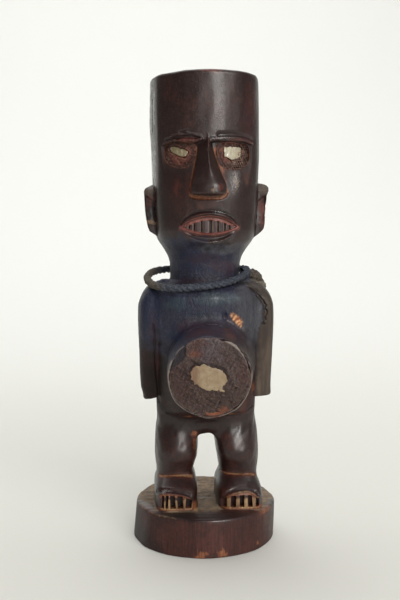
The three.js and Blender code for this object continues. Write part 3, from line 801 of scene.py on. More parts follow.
# The gaps between the teeth, as their x and their width.
TOOTH_GAPS = ((-11.3, 0.7), (-8.5, 0.9), (-4.4, 1), (0.8, 1.7), (5.1, 1.1), (9.1, 1.2), (12, 0.8))
nose_x = through((208, -0.7), (216, -0.7), (222, -1.2), (229, -1.7), (237, -2.5), (244, -2.5))
nose_ridge = through((208, 0.5), (216, 0.4), (223, -0.3), (229, -0.9), (236, -1.2), (244, -1.2))
nose_half = through(
    (208, 10.2), (211, 10.2), (215, 9.9), (218, 9.1), (222, 7.9), (229, 6), (237, 4.5), (244, 4.1))
nose_tip = through(
    (208, 38.8), (210.5, 39.9), (213.5, 40), (220, 38.2), (232.5, 34.4), (240.5, 32.6), (244, 31.9))
nose_bluntness = through((208, 3.4), (214, 2.8), (220, 1.9), (228, 1.25), (240, 1.15))
UNDER_NOSE = [(-10.6, 209), (-9.4, 208.2), (-6, 207.8), (-1, 207.5), (3, 207.5), (7, 207.9), (9.2, 209.2),
              (10.2, 211)]


def face_height(x, y, z):
    """Height over the curved sheet of the face, positive in front of it."""
    middle = FACE_ARC - head_front(z)
    return np.hypot(x - FACE_X, y - middle) - FACE_ARC


def almond(x, z):
    """Distance outwards from the edge of the mouth, an almond with its points at the sides."""
    t = np.clip(np.abs(x - MOUTH_X) / MOUTH_HALF, 0, 1)
    rise = np.where(z > MOUTH_Z, MOUTH_RISE, MOUTH_DROP)
    arc = rise * (1 - t * t) ** 0.85
    lean = 1 / np.sqrt(1 + (1.9 * rise / MOUTH_HALF * t) ** 2)
    inside = (np.abs(z - MOUTH_Z) - arc) * lean
    past = np.hypot(np.abs(x - MOUTH_X) - MOUTH_HALF, z - MOUTH_Z)
    return np.where(np.abs(x - MOUTH_X) > MOUTH_HALF, past, inside)


def tooth_side(x):
    """How far a point is from the nearest gap between two teeth, in gap widths."""
    return np.min([np.abs(x - middle) / width for middle, width in TOOTH_GAPS], axis=0)


def mouth_relief(x, z):
    """Lips, opening and teeth as a height over the face."""
    edge = almond(x, z)
    upper = ramp(-0.8, 0.8, z - MOUTH_Z)
    t = np.clip(np.abs(x - MOUTH_X) / MOUTH_HALF, 0, 1)
    full = np.sqrt(1 - t * t)
    crest = (1.2 * upper + 4.7 * (1 - upper)) * full + 0.3
    spread = 0.45 + 0.6 * full * upper + (1 - upper) * (0.7 + 1.8 * ramp(-0.3, 0.6, edge - crest))
    lip = 1.8 * np.exp(-((edge - crest) / spread) ** 2) * ramp(1.0, 0.7, t)
    inner_lip = 0.55 * np.exp(-((edge - 0.1) / 0.4) ** 2)
    cut_at = (crest + 1.5) * upper + 2.2 * (1 - upper)
    rim_cut = -0.6 * np.exp(-((edge - cut_at) / 0.8) ** 2) * ramp(0.95, 0.6, t)
    gum = 2.4 * upper + 0.8 * (1 - upper)
    opening = ramp(0.1, -0.7, edge)
    gap = tooth_side(x)
    tooth = 1.9 * ramp(0.3, 0.62, gap) + 0.5 * ramp(0.5, 1.7, gap)
    floor = -3.2 + tooth
    floor = floor + (-0.9 - floor) * ramp(-gum - 0.4, -gum + 0.4, edge)
    return (lip + inner_lip + rim_cut) * (1 - opening) + floor * opening


def pit_edge(x, z, side):
    """Distance outwards from the edge of an eye pit, which is flat on top and round below."""
    cx, cz, half_wide, half_high = EYES[side]
    power = np.where(z > cz, 5.0, (1.8, 2.2)[side])
    high = np.where(z > cz, EYE_TOP, half_high)
    a, b = np.abs(x - cx) / half_wide, np.abs(z - cz) / high
    return ((a ** power + b ** power) ** (1 / power) - 1) * half_high


def eye_relief(x, z):
    """The eye pits as a height over the face."""
    depth = 0
    for side in (0, 1):
        depth = depth - EYE_DEPTH * ramp(0.1, -0.8, pit_edge(x, z, side))
    return depth


def nose_shape(x, y, z):
    """A wedge whose ridge lies a little to the left and whose tip is cut off flat below."""
    half = nose_half(z)
    middle, ridge = nose_x(z), nose_ridge(z)
    across = x - ridge
    reach = np.where(across > 0, middle + half - ridge, ridge - middle + half)
    t = np.clip(np.abs(across) / reach, 0, 1.3)
    blunt = nose_bluntness(z)
    profile = NOSE_RISE * t ** blunt
    slope = NOSE_RISE * blunt * t ** (blunt - 1) / reach
    front = (-y - nose_tip(z) + profile) / np.sqrt(1 + slope * slope)
    sides = np.abs(x - middle) - half
    under = NOSE_UNDER + 0.9 * (np.abs(x - middle) / 10) ** 3 - z
    return meet(meet(meet(front, sides, 0.9), under, 1.3), z - NOSE_TOP, 1)


# %% Head, ears and face
EARS = (
    [(-26, 217.2), (-32.5, 216.4), (-36.7, 214.3), (-37.5, 212.8), (-37.2, 207.3), (-36.9, 201.3),
     (-36.3, 196), (-35.4, 191.4), (-34.2, 188.5), (-30.8, 186.3), (-26, 183)],
    [(26, 218), (31, 217.8), (34.1, 217.4), (36.6, 216.4), (37.7, 214.6), (37.4, 212.8), (36.4, 209.9),
     (36, 204.4), (35.6, 198.4), (35.3, 193), (34.6, 189.9), (33, 188.1), (30, 185.8), (26, 183)])
EAR_HOLLOWS = (
    [(-36.6, 210.4), (-34.9, 209), (-30, 205.6), (-26, 205), (-26, 193.2), (-35.2, 193.2), (-36.1, 200)],
    [(26, 203), (31.9, 207.7), (33.8, 209.2), (35.6, 210.4), (35.3, 204.4), (34.9, 198.4), (34.6, 193.2),
     (26, 193.2)])
EAR_FRONT = 9.0
HOLLOW_DEPTH = 1.8


def panel(a, b, corners):
    """Distance to a flat outline with straight sides: negative inside it."""
    edge = stroke(a, b, corners + corners[:1])
    inside = np.zeros(a.shape, bool)
    for (a0, b0), (a1, b1) in zip(corners, corners[1:] + corners[:1]):
        if b0 != b1:
            inside ^= ((b0 > b) != (b1 > b)) & (a < (a1 - a0) * (b - b0) / (b1 - b0) + a0)
    return np.where(inside, -edge, edge)


def ear_shape(side):
    """A flat slab with its upper front cut aslant."""
    def shape(x, y, z):
        slab = np.abs(y + 1.5) - (EAR_FRONT - 1.5)
        brow = (z - 213.2) * 0.75 - (y + EAR_FRONT) * 0.66
        return meet(meet(panel(x, z, EARS[side]) + 0.2, slab, 0.7), brow, 0.4)
    return shape


def ear_hollow(side):
    """The hollow in the front of an ear, kept out of the side of the head."""
    def shape(x, y, z):
        floor = y + EAR_FRONT - HOLLOW_DEPTH * ramp(191, 203, z)
        hollow = meet(panel(x, z, EAR_HOLLOWS[side]), floor, 0.8)
        return np.maximum(hollow, 0.1 - head_shape(x, y, z))
    return shape


def head_shape(x, y, z):
    """A tall cylinder with a curved face, its right side planed and its crown worn down to the right."""
    crown = HEAD_TOP - 1.3 * ramp(2, 31, -x)
    side = oval(x - head_x(z), y, head_half(z), head_front(z) + 0.8, head_back(z), head_power(z))
    d = meet(side, face_height(x, y, z), 3.5)
    planed = -0.968 * x - 0.25 * y - side_plane(z)
    d = meet(d, planed, 0.5)
    d = meet(d, z - crown + 0.06 * wobble(x, y, 0, 21, 31), 2.4)
    return np.maximum(d, HEAD_BOTTOM - z)


def cut_under_brow(x, y, z):
    """What is cut from the face under the edge of the brow, less and less towards its sides."""
    fade = np.clip(1 - (np.abs(x - FACE_X) / 28.5) ** 6, 0, 1)
    depth = under_brow(z) * fade - 1.2 * (1 - fade)
    return meet(z - brow_edge(x), -(face_height(x, y, z) + depth), 0.3)


def nose_end(x, y, z):
    """A small lobe on the left of the nose's tip."""
    return ball(x, y, z, (6.4, -35.9, 211.7), (2.1, 1.6, 1.6))


def cheek_swell(x, y, z):
    """The fuller cheek on the left."""
    return -0.6 * np.exp(-((x - 18) / 5.6) ** 2 - ((z - 216) / 9) ** 2)


def mouth_depth(x, y, z):
    return -mouth_relief(x, z) * ramp(-16, -19, y)


def eye_depth(x, y, z):
    """The eye pits, faded out beside the nose and under the brow."""
    beside_nose = ramp(0.1, 1.3, np.abs(x - nose_x(z)) - nose_half(z))
    return -eye_relief(x, z) * beside_nose * ramp(0.2, -0.6, z - brow_edge(x))


def side_crack(x, y, z):
    """A drying crack down the planed right side of the head."""
    return y + 10 + 0.6 * np.sin(z / 9) + 0.3 * wobble(x, y, z, 9, 35)


# Lines of the brows: where they run, their radius and softness, and whether they stand proud.
BROW_LINES = (
    (LEFT_BROW_GROOVE, 0.8, 2.2, False), (LEFT_BROW, 0.95, 1.2, True),
    (straying(RIGHT_CREST, 0.8, 4, 33, one_side=True), 0.75, 1.3, True),
    (straying(RIGHT_GROOVE, 0.2, 4, 36), 0.65, 1.1, False),
    (straying(RIGHT_BROW, 0.6, 3.2, 34, one_side=True), 0.75, 0.8, True), (RIGHT_ARCH, 0.25, 0.9, False))


def model_head(clay):
    clay.work(blend_in, head_shape, 1.8, ((-42, -44, 148), (42, 40, 286)))
    clay.work(carve_out, cut_under_brow, 0.5, ((-32, -44, 192), (32, -8, 248)))
    clay.work(blend_in, nose_shape, 0.7, ((-18, -48, 202), (18, -20, 250)))
    clay.work(blend_in, nose_end, 0.8, ((-2, -46, 206), (14, -30, 220)))
    clay.press(cheek_swell, ((4, -40, 200), (27, -16, 226)))
    clay.score(UNDER_NOSE, 0.8, ((-14, -36, 203), (13, -26, 211)), 0.7)
    clay.press(mouth_depth, ((-24, -48, 178), (25, -14, 205)))
    clay.press(eye_depth, ((-28, -34, 221), (27, -10, 241.4)))
    for line, radius, soft, proud in BROW_LINES:
        clay.score(line, radius, ((-32, -48, 178), (32, -10, 250)), soft, proud)
    for side, box in enumerate((((-44, -16, 178), (-22, 12, 224)), ((22, -16, 178), (44, 12, 224)))):
        clay.work(blend_in, ear_shape(side), 0.7, box)
        clay.work(carve_out, ear_hollow(side), 0.3, box)
    clay.score(side_crack, 0.3, ((-36, -20, 244), (-26, -2, 276)), 0.25)


# %% The whole carved figure
def carved_shape(x, y, z):
    """The whole figure, with the carver's knife strokes all over it."""
    clay = Clay(x, y, z)
    model_base_and_legs(clay)
    model_torso(clay)
    model_head(clay)
    knife = 0.06 * wobble(x, y, z / 1.6, 10, 41, 4) + 0.012 * wobble(x, y, z / 1.5, 3.4, 42, 4)
    return clay.d + knife * ramp(0, 2, z)


x_line = grid_line((-46, -33, 0.9), (-33, 33, 0.5), (33, 46, 0.9))
y_line = grid_line((-58, -50, 0.7), (-50, -16, 0.5), (-16, 46, 1.2))
z_line = grid_line((-2, 22, 0.9), (22, 42, 0.5), (42, 84, 1.0), (84, 160, 0.8), (160, 182, 1.0),
                   (182, 247, 0.48), (247, 283, 0.9))
wood_points, wood_faces = skin(carved_shape, (x_line, y_line, z_line))
print("skin", len(wood_points), "points")
carved_wood = thinned(mesh_object("carved_wood", wood_points, wood_faces), 190_000)
wood_points, wood_normals = finished(carved_wood, carved_shape)
print("carved wood", triangles(carved_wood.data), "triangles")

# %% [markdown]
# ## Where the surface is worn, carved, crusted or dusty, and where shade and light are painted
# Age shows in patches: hands have rubbed the edges red, knife cuts are still orange, blue-black crust
# lies on the chest and neck, and dust sits on the base and the left arm. Shade and light are painted
# into the colour as well: painted shade in the creases, under the belly and beside the arms, painted
# highlights along the drum's rim, on the cheek and the nose's tip and as a teal sheen on the chest, and
# lighter crust on the left side and the chin. Painting an image would tie the finish to one picture.
# Each kind of patch is a number stored on every point instead, worked out from its place and from how
# sharply the surface bends there.

# %% Bends and patches
def bend_of(shape, p, normals, reach):
    """Positive on ridges and negative in hollows, over a given reach in millimetres."""
    out = shape(*(p - normals * reach).T) + reach
    side = np.cross(normals, (0.31, 0.17, 0.93))
    side /= np.linalg.norm(side, axis=1)[:, None]
    other = np.cross(normals, side)
    around = sum(shape(*(p + way * reach).T) for way in (side, -side, other, -other)) / 4
    return (around + 0.25 * out) / reach


def patch(p, centre, radii, seed=0, ragged=0.0):
    """A soft-edged patch round a centre: 1 in its middle, 0 outside."""
    reach = np.sqrt((((p - centre) / radii) ** 2).sum(axis=1))
    if ragged:
        reach = reach + ragged * wobble(*p.T, min(radii) * 0.9, seed)
    return 1 - ramp(0.45, 1.0, reach)


def along(p, line, width, low, high, axes=(0, 2)):
    """A band beside a line drawn on the front, inside a box."""
    keep = ((p > low) & (p < high)).all(axis=1)
    return keep * (1 - ramp(width * 0.4, width, stroke(p[:, axes[0]], p[:, axes[1]], line)))


def most(*masks):
    return np.max(masks, axis=0)


EAR_FROM = 31.5  # the ears lie farther out than this
SPOT_RAGGED = 0.22


def spots(p, table):
    """The strongest of many ragged patches, each given as centre, radii and strength."""
    return most(*(strength * patch(p, centre, radii, seed, SPOT_RAGGED)
                  for seed, (centre, radii, strength) in enumerate(table)))


RED_SPOTS = (
    ((0, -14, 46), (42, 26, 30), 0.16), ((0, -20, 92), (40, 24, 26), 0.2),
    ((6, -24, 262), (36, 22, 24), 0.14), ((-12, -26, 205), (22, 16, 30), 0.14),
    ((6, -22, 162), (12, 10, 3), 0.5), ((1.2, -32, 279.3), (8, 5, 2), 0.9),
    ((25, -22, 262), (7, 10, 18), 0.3), ((-18.6, -28, 214), (3, 8, 8), 0.42),
    ((-12.6, -29, 216), (2.4, 8, 9), 0.34), ((-1, -31, 204.4), (11, 5, 3.4), 0.36),
    ((5.4, -38, 213.6), (3.4, 4, 2.4), 0.6), ((-14, -30, 240.4), (11, 5, 1.6), 0.7),
    ((16, -28, 240.8), (9, 6, 1.3), 0.6), ((22, -23, 220), (3.4, 6, 5), 0.35),
    ((-30, -15, 110), (1.8, 8, 15), 0.6), ((-9, -42, 131.5), (13, 11, 5), 0.5),
    ((12, -40, 131), (9, 10, 5), 0.35), ((-33.5, -14, 131), (1.8, 6, 6), 0.5),
    ((27.6, -14, 94.5), (2.2, 8, 4.5), 1.0), ((22, -18, 83), (4, 9, 8), 0.6),
    ((5, -20, 76.6), (19, 8, 1.6), 0.8), ((-7.4, -10, 64), (2.4, 9, 3), 1.0),
    ((-9, -10, 50), (3, 9, 14), 0.35), ((12, -12, 62), (6, 8, 7), 0.3), ((0, -30, 10), (62, 40, 28), 0.42),
    ((6, -43, 8), (24, 9, 14), 0.58), ((34, -24, 20.5), (9, 12, 4), 0.6),
    ((-15, -24, 157), (8, 8, 2.4), 0.5), ((11, -24, 160.5), (8, 5, 2.6), 0.3),
    ((-34.2, -8, 206), (3.4, 5, 5), 0.6), ((33.6, -8, 200), (3.2, 5, 11), 0.8),
    ((3, -54, 85.6), (8, 4, 1.6), 0.8))
CARVED_SPOTS = (
    ((-5.9, -43, 2), (4.4, 5, 3), 0.8), ((6.3, -43, 2.4), (3.8, 5, 3.4), 0.8),
    ((28.7, -33, 3.6), (1.8, 4, 1.8), 0.9), ((-7.6, -13, 66), (3, 7, 2), 1.0),
    ((-7.8, -11, 60), (1.3, 6, 5), 0.6), ((-8.4, -24, 24.6), (2.6, 6, 3.6), 0.9),
    ((34, -24, 21.6), (8, 12, 2), 0.55), ((32.5, -14, 23), (2.4, 10, 2), 0.6),
    ((-12, -17, 77.4), (6, 6, 1), 0.5), ((16, -17, 78.6), (8, 6, 1), 0.5),
    ((27.6, -14, 94.5), (1.6, 8, 4), 0.6))
# Pale dust. The two spots on the tops of the shoulders are partly painted light from above.
DUST_AND_PAINTED_LIGHT_SPOTS = (
    ((25, -10, 158.5), (10, 16, 4), 0.9), ((-17, -6, 159.5), (12, 12, 3), 0.7),
    ((40, -14, 11), (10, 26, 16), 0.3))
# Tan worn spots. The ones on the left cheek and on the nose's tip are partly painted highlights, and the
# one low in the right ear's hollow is partly painted light.
WORN_AND_HIGHLIGHT_SPOTS = (
    ((-33, -8, 194), (3.6, 5, 3), 0.45), ((-18, -43, 3), (1.4, 4, 3.4), 0.8),
    ((15.4, -27, 217.4), (3, 6, 7), 0.26), ((-7.4, -25, 22.6), (1.6, 7, 2), 0.5),
    ((-5.8, -12, 54.4), (1, 6, 2.4), 0.6), ((0.8, -40, 211.8), (1.7, 4, 1.5), 0.5))
# Blue-black stains. The fourth spot, on the right shoulder, is painted shade that darkens that side.
BLUE_SPOTS = (
    ((9, -28, 139.6), (3.2, 5, 4), 1.0), ((-13, -20, 171), (11, 10, 9), 0.8),
    ((-20, -30, 129), (9, 12, 7), 0.8), ((-33, -12, 143), (10, 14, 18), 1.0),
    ((-17, -26, 181), (13, 10, 7), 0.6), ((0, -22, 171), (22, 14, 8), 0.7),
    ((-4, -30, 146), (24, 12, 9), 0.6), ((12, -24, 163), (14, 12, 6), 0.5))


def carved_marks(p):
    """Cuts where the lighter wood still shows orange."""
    x, y, z = p.T
    face = (z > 205) * (z < 241.5) * (y > -34) * (y < -18)
    beside_nose = np.abs(x - nose_x(z)) - nose_half(z)
    nose_foot = 0.5 * np.exp(-((beside_nose - 0.4) / 0.7) ** 2) * ramp(239, 236, z)
    nose_foot = nose_foot * face * (z > 209.4)
    nose_under = np.exp(-(stroke(x, z - 0.2, UNDER_NOSE) / 1.1) ** 2) * (y > -34) * (y < -18)
    pits = most(*(ramp(1.2, -1.6, pit_edge(x, z, side)) for side in (0, 1))) * face
    nose_side = np.maximum(0, 1 - np.abs(beside_nose - 1.4) / 2.2) * face * (x > 0)
    nose_side = nose_side * ramp(214, 226, z) * ramp(239, 235, z)
    soles = 0.9 * (z > 23) * (y < -21.5) * ramp(25, 24, z)
    ankles = most(*(along(p, line, 0.8, (-34, -22, 37), (34, -6, 43)) for line in ANKLE_LINES))
    under_lips = most(*(along(p, [(a, b - 1) for a, b in line], 1.4, (-34, -30, 26), (34, -23, 37))
                        for line in LIPS_OF_FEET))
    return most(nose_foot, nose_under, pits * 0.8, nose_side * 0.8, soles, ankles * 0.8, under_lips * 0.55,
                spots(p, CARVED_SPOTS))


def worn_and_highlight_marks(p, ridge):
    """Tan edges: the bars between the toes, the ankle cuts, the rim of the base, and a few spots that are
    partly painted highlights.
    """
    x, y, z = p.T
    front = (z > 23.6) * (z < 31) * (y < -TOE_FRONT + 1.6)
    uneven = 0.75 + 0.3 * wobble(x, 0, z, 4, 55)
    bars = front * ramp(30.6, 28.6, z + 0.4 * wobble(x, 0, z, 3, 54)) * uneven
    lips = along(p, LIPS_OF_FEET[1], 0.7, (6, -30, 26), (34, -20, 37))
    at_rim = (z > 19) * (z < 25) * (np.hypot(x, y) > 39)
    base_rim = ramp(0.06, 0.25, ridge) * at_rim * ramp(-14, -22, x)
    ankles = most(*(along(p, line, 0.55, (-34, -22, 37), (34, -6, 43)) for line in ANKLE_LINES))
    return most(bars, lips * 0.4, base_rim * 0.3, ankles * 0.42, spots(p, WORN_AND_HIGHLIGHT_SPOTS))


def pink_marks(p):
    """The inner lips, the corners of the mouth and the upper edges of the eye pits."""
    x, y, z = p.T
    front = (y < -20) * (y > -40)
    edge = almond(x, z)
    near = np.abs(z - MOUTH_Z) < 9
    upper = ramp(-2.8, -2.2, edge) * ramp(0.5, 0, edge) * (z > MOUTH_Z)
    lower = ramp(-1.1, -0.5, edge) * ramp(0.9, 0.4, edge) * (z <= MOUTH_Z)
    corners = most(*(patch(p, (cx, -28, MOUTH_Z - 0.4), (3.6, 9, 2)) for cx in (-14.6, 15)))
    lip_shade = 0.35 * ramp(3.6, 1, edge) * ramp(-0.5, 0.3, edge) * (z < MOUTH_Z)
    pits = most(*(patch(p, centre, radii) for centre, radii in (
        ((-9.6, -27, 236.4), (3, 8, 3)), ((13, -27, 238.8), (9, 8, 1.5)))))
    mouth = most(upper * 0.8 + lower * 0.9, corners, lip_shade) * near * front
    return most(mouth, pits * 0.9)


def red_marks(p, ridge):
    """Places rubbed back to red-brown wood."""
    ankles = most(*(along(p, line, 2.4, (-34, -22, 36), (34, -6, 45)) for line in ANKLE_LINES))
    rubbed = ramp(0.10, 0.42, ridge) * (0.3 + 0.3 * wobble(*p.T, 12, 51))
    return most(spots(p, RED_SPOTS), ankles * 0.45, np.clip(rubbed, 0, 0.6))


def crust_marks(p):
    """The matte crust on the chest, the neck, the right side of the drum and the upper back."""
    x, y, z = p.T
    rough = 2.2 * wobble(x, y, z, 9, 61)
    chest = crust_cover(x, y, z) * (z < 162)
    neck = ramp(156, 160, z) * ramp(192 - 0.16 * (x + 22) + rough, 174 + rough, z)
    neck = neck * (1 - patch(p, (4.6, -31, 183.8), (9, 7, 2.6)))
    drum_side = patch(p, (-24, -32, 122), (10, 18, 14), 62, 0.15) * 0.7
    back = ramp(108, 126, z + rough) * ramp(192, 180, z) * ramp(-4, 4, y) * 0.6
    return most(chest, neck, drum_side, back)


def grey_and_painted_light_marks(p):
    """Where the crust is grey and lighter, not blue: the left side of the body, partly its colour and
    partly painted light from the lamps on that side, and the chin, painted lighter as light thrown up from
    the floor.
    """
    x, _, z = p.T
    return most(ramp(12, 24, x) * (z > 100), patch(p, (8, -24, 180), (19, 14, 6.5)))


def rim_highlight_marks(p, ridge):
    """A painted highlight: the thin pale line that runs round the front edge of the drum, broken at its
    top.
    """
    x, y, z = p.T
    a, b = x - DRUM_X, z - DRUM_Z
    angle = np.degrees(np.arctan2(b, a))
    covered = ramp(56, 64, angle) * ramp(122, 112, angle)
    uneven = 0.62 + 0.2 * wobble(x, y, z, 9, 56)
    uneven = uneven + 0.3 * ramp(20, -40, angle) * ramp(-90, -50, angle)
    uneven = uneven - 0.45 * ramp(4, 18, angle) * ramp(76, 62, angle)
    return ramp(0.16, 0.42, ridge) * (y < -52) * (np.hypot(a, b) > 22.7) * (1 - covered) * uneven


def dust_and_painted_light_marks(p):
    """Pale dust on the left arm, the shoulders, the tops of the ears and the left of the base; on the tops
    of the shoulders it is partly painted light from above.
    """
    x, y, z = p.T
    left_arm = ramp(28, 33, x + 0.5 * wobble(x, y, z, 8, 71)) * (z > 86) * (z < 160) * 0.8
    ears = 0.75 * (np.abs(x) > EAR_FROM) * (z < 219) * (y < 8) * ramp(208, 213, z)
    return most(left_arm, ears, spots(p, DUST_AND_PAINTED_LIGHT_SPOTS))


def trodden_marks(p, n):
    """The top of the base, worn pale except for a dark glossy band at its front."""
    x, y, z = p.T
    streaky = 1.1 * wobble(x * 0.15, y, 0, 6, 73) + 0.7 * wobble(x, y, 0, 8, 74)
    band = np.interp(x, (-42, -30, -15, 0, 12, 22, 32), (2, 5, 9, 14, 15, 8, 2)) * ramp(4, -10, y)
    uneven = 0.75 + 0.25 * wobble(x * 0.12, y, 0, 3, 75)
    on_top = (n[:, 2] > 0.6) * (z < 24)
    return on_top * ramp(-2, 3, BASE_TOP - np.hypot(x, y) - band + streaky) * uneven


POLISHED = (
    ((15, -27, 217), (4, 7, 9), 0.8), ((-33, -10, 260), (3, 9, 26), 1.0),
    ((-32, -10, 215), (3, 9, 40), 0.8), ((0.8, -38, 212), (3, 6, 2.6), 0.6),
    ((6, -31, 241.6), (6, 6, 2.4), 1.0), ((17.6, -15, 66), (5, 8, 13), 0.25),
    ((4.2, -30, 183), (6, 7, 2), 1.0), ((5, -28, 199.6), (6, 6, 2), 1.0),
    ((-14.6, -28, 192), (3, 8, 2), 1.0), ((14, -28, 192), (3, 8, 2), 1.0),
    ((-25, -24, 35), (5, 6, 5), 0.6), ((7, -42.4, 21.8), (15, 2.4, 1.6), 1.0),
    ((3.5, -28, 150), (7, 8, 4), 0.5))


def dull_marks(p):
    """Where the skin has lost its gloss: the sides of the base and body, the ears, the hollows."""
    x, y, z = p.T
    in_front = (z < 24) * ramp(-22, -27, y) * ramp(-43, -42, y)
    base = most(ramp(22.6, 21, z) * 0.75, in_front)
    flanks = ramp(20, 27, np.abs(x + 1)) * ramp(70, 84, z) * ramp(132, 122, z)
    by_chip = patch(p, (14, -34, 133.6), (10, 10, 8))
    pits = most(*(np.exp(-(pit_edge(x, z, side) / 1.6) ** 2) for side in (0, 1))) * (y < -14)
    pits = pits * ramp(241, 240, z)
    spread = most(patch(p, (25, -20, 226), (6, 12, 20)), patch(p, (3.6, -27, 231), (2.8, 8, 11)),
                  patch(p, (7.4, -27, 221), (4.6, 8, 8)), 0.7 * patch(p, (3, -31, 204), (14, 6, 5)),
                  0.9 * patch(p, (-14.5, -25, 34), (9, 6, 5)), patch(p, (27, -21, 36), (5, 6, 4)))
    belly_line = along(p, UNDER_BELLY, 2.2, (-30, -26, 70), (30, -8, 88))
    ears = 1.0 * (np.abs(x) > EAR_FROM) * (z > 182) * (z < 220) * (y > -11)
    return most(base, flanks, by_chip, pits, spread, belly_line, ears)


# Painted shade: under the belly and between the legs, beside the arms, under the cord, beside the nose,
# round the right eye and cheek, by the chip, in the right ear's hollow, on the base's left side and along
# its front, and by the shoulder crack.
SHADE_SPOTS = (
    ((0, -12, 72), (32, 12, 8), 0.35), ((-30, -16, 98), (12, 12, 34), 0.8),
    ((27, -18, 108), (4, 10, 24), 0.6), ((-8, -24, 160), (26, 10, 3), 0.6),
    ((-6, -30, 222), (3, 8, 14), 0.5), ((-20, -26, 228), (12, 10, 16), 0.35),
    ((1, -24, 45), (9, 20, 20), 0.4), ((-25, -24, 205), (10, 16, 24), 0.3),
    ((12, -36, 136), (7, 7, 3.4), 0.8), ((-33.5, -8, 200), (3.8, 6, 10), 1.0),
    ((-42, -8, 10), (12, 26, 20), 0.5), ((-2, -38, 22.6), (40, 13, 2.4), 0.85),
    ((0, -20, 84), (26, 14, 6), 0.4), ((31, -14, 150), (8, 12, 10), 0.55))
# Painted sheen: teal highlights painted on the crust of the chest and shoulders.
TEAL_SHEEN_SPOTS = (
    ((7, -28, 150), (17, 9, 5), 0.75), ((-19, -24, 147), (10, 10, 6), 0.5),
    ((28, -20, 146), (6, 9, 8), 0.5), ((-4, -28, 139), (14, 10, 4), 0.4))
PLUM_SPOTS = (
    ((12, -18, 167), (14, 12, 7), 0.8), ((-8, -16, 159), (16, 12, 3), 0.8),
    ((-32, -14, 132), (4, 10, 14), 0.7), ((-6, -38, 134), (22, 22, 7), 0.9),
    ((15, -34, 127), (10, 20, 10), 0.6), ((0, -24, 172), (22, 12, 5), 0.6),
    ((2, -28, 137), (16, 10, 6), 0.5), ((-22, -22, 98), (6, 12, 12), 0.5),
    ((26, -26, 250), (10, 10, 22), 0.5))


def bare_marks(p):
    """Bare wood in the chip and a little round it."""
    return ramp(1.2, 0.3, chip_shape(*p.T)) * (p[:, 2] > 128)


def stripes(p):
    """Torn fibres across the chip."""
    x, y, z = p.T
    along_chip = (x - 16.5) * CHIP_COS - (z - 136.9) * CHIP_SIN
    return 0.5 + 0.5 * np.sin(2.6 * along_chip + 1.3 * wobble(x, y, z, 4, 18))


def tooth_marks(p):
    """The two rows of teeth between the lips."""
    x, y, z = p.T
    edge = almond(x, z)
    upper = z > MOUTH_Z
    inside = ramp(-0.5, -1.0, edge + 1.8 * upper) * ramp(0.25, 0.5, tooth_side(x))
    return inside * (y < -22) * (y > -36) * (np.abs(z - MOUTH_Z) < 8)


def crease_shade_marks(p, bend):
    """Painted shade in the creases, less of it on the ears and under the lip."""
    ears = np.where(np.abs(p[:, 0]) > EAR_FROM, 0.4, 1)
    return ramp(-0.06, -0.5, bend) * ears * (1 - 0.85 * patch(p, (5, -27, 180), (19, 12, 6)))


p = wood_points
ridge = bend_of(carved_shape, p, wood_normals, 0.9)
broad = bend_of(carved_shape, p, wood_normals, 2.6)
store(carved_wood, carved=carved_marks(p), red=red_marks(p, ridge), pink=pink_marks(p),
      worn=worn_and_highlight_marks(p, ridge), crust=crust_marks(p), grey=grey_and_painted_light_marks(p), dull=dull_marks(p),
      dust=dust_and_painted_light_marks(p), pale_rim=rim_highlight_marks(p, ridge), trodden=trodden_marks(p, wood_normals),
      bare=bare_marks(p), stripe=stripes(p), teeth=tooth_marks(p),
      tooth_edge=ramp(1.1, 0.5, tooth_side(p[:, 0])),
      hollow=crease_shade_marks(p, np.minimum(ridge, broad)), blue=spots(p, BLUE_SPOTS),
      polished=spots(p, POLISHED), plum=spots(p, PLUM_SPOTS), shade=spots(p, SHADE_SPOTS),
      teal=spots(p, TEAL_SHEEN_SPOTS))
print("bends from", round(float(ridge.min()), 2), "to", round(float(ridge.max()), 2))

# %% [markdown]
# ## The belly charge
# The drum holds a cake of resin mixed with fibre and earth. A thicker flap of it is folded over the
# upper part and covers the rim there, and below it the cake sinks round the pale slip. The same clay
# functions make it, as heights over the flat front of the drum, and grains of grit are scattered over
# it afterwards.

# %% Belly charge
FLAP = [
    (-13.4, 24), (-13.9, 17.8), (-13.6, 12.8), (-11.2, 9.4), (-7.3, 8.4), (-1.8, 8.4), (2.7, 7.4),
    (7.5, 6), (10.4, 3.6), (12.4, 0), (14, -3.6), (19, -6), (24, -3), (26, 8), (20, 22), (6, 27)]
BELLY_SLIP = [
    (-9.5, 5.8), (-7.9, 6.7), (-6, 6.5), (-4, 7.6), (-1.8, 6.8), (1, 5.6), (4.3, 4.8), (7.1, 3.6),
    (9, 0.5), (9.6, -1.9), (8.9, -3.7), (7.1, -5.1), (6.9, -6.5), (8.3, -7.7), (6.5, -8.6), (4.9, -7.1),
    (3.2, -7.9), (1.3, -6.7), (-0.7, -7.7), (-2.6, -6.8), (-4.6, -6.1), (-6.2, -5.1), (-7, -4.1),
    (-8.7, -3.5), (-9.2, -2.1), (-10.8, -1.1), (-10.6, 1.1), (-11.2, 2.4), (-10.3, 4.2)]
CRESCENT = through((-26, -30), (0, -24.5), (5, -20.4), (8.5, -16.4), (12, -14), (18, -13.2), (26, -12))
FLAP_EDGE = through(
    (-6, 22.3), (10, 22.2), (17, 22), (30, 22), (38, 22.1), (47, 22.6), (57, 22.8), (64, 22.3), (72, 21.2),
    (81, 22.3), (91, 22.2), (110, 22.9), (126, 22.4), (140, 22.4))

RESIN_RED = (
    ((-10, -55, 126), (8, 5, 10), 0.44), ((17, -55, 110), (5, 4, 9), 0.42),
    ((-19, -55, 106), (7, 4, 17), 0.38))
RESIN_ORANGE = (
    ((2.4, -54, 87.4), (10, 4, 1.8), 0.8), ((6, -54, 90), (4.4, 4, 3), 0.5),
    ((-10.6, -55, 121.8), (4, 4, 2.8), 0.42))


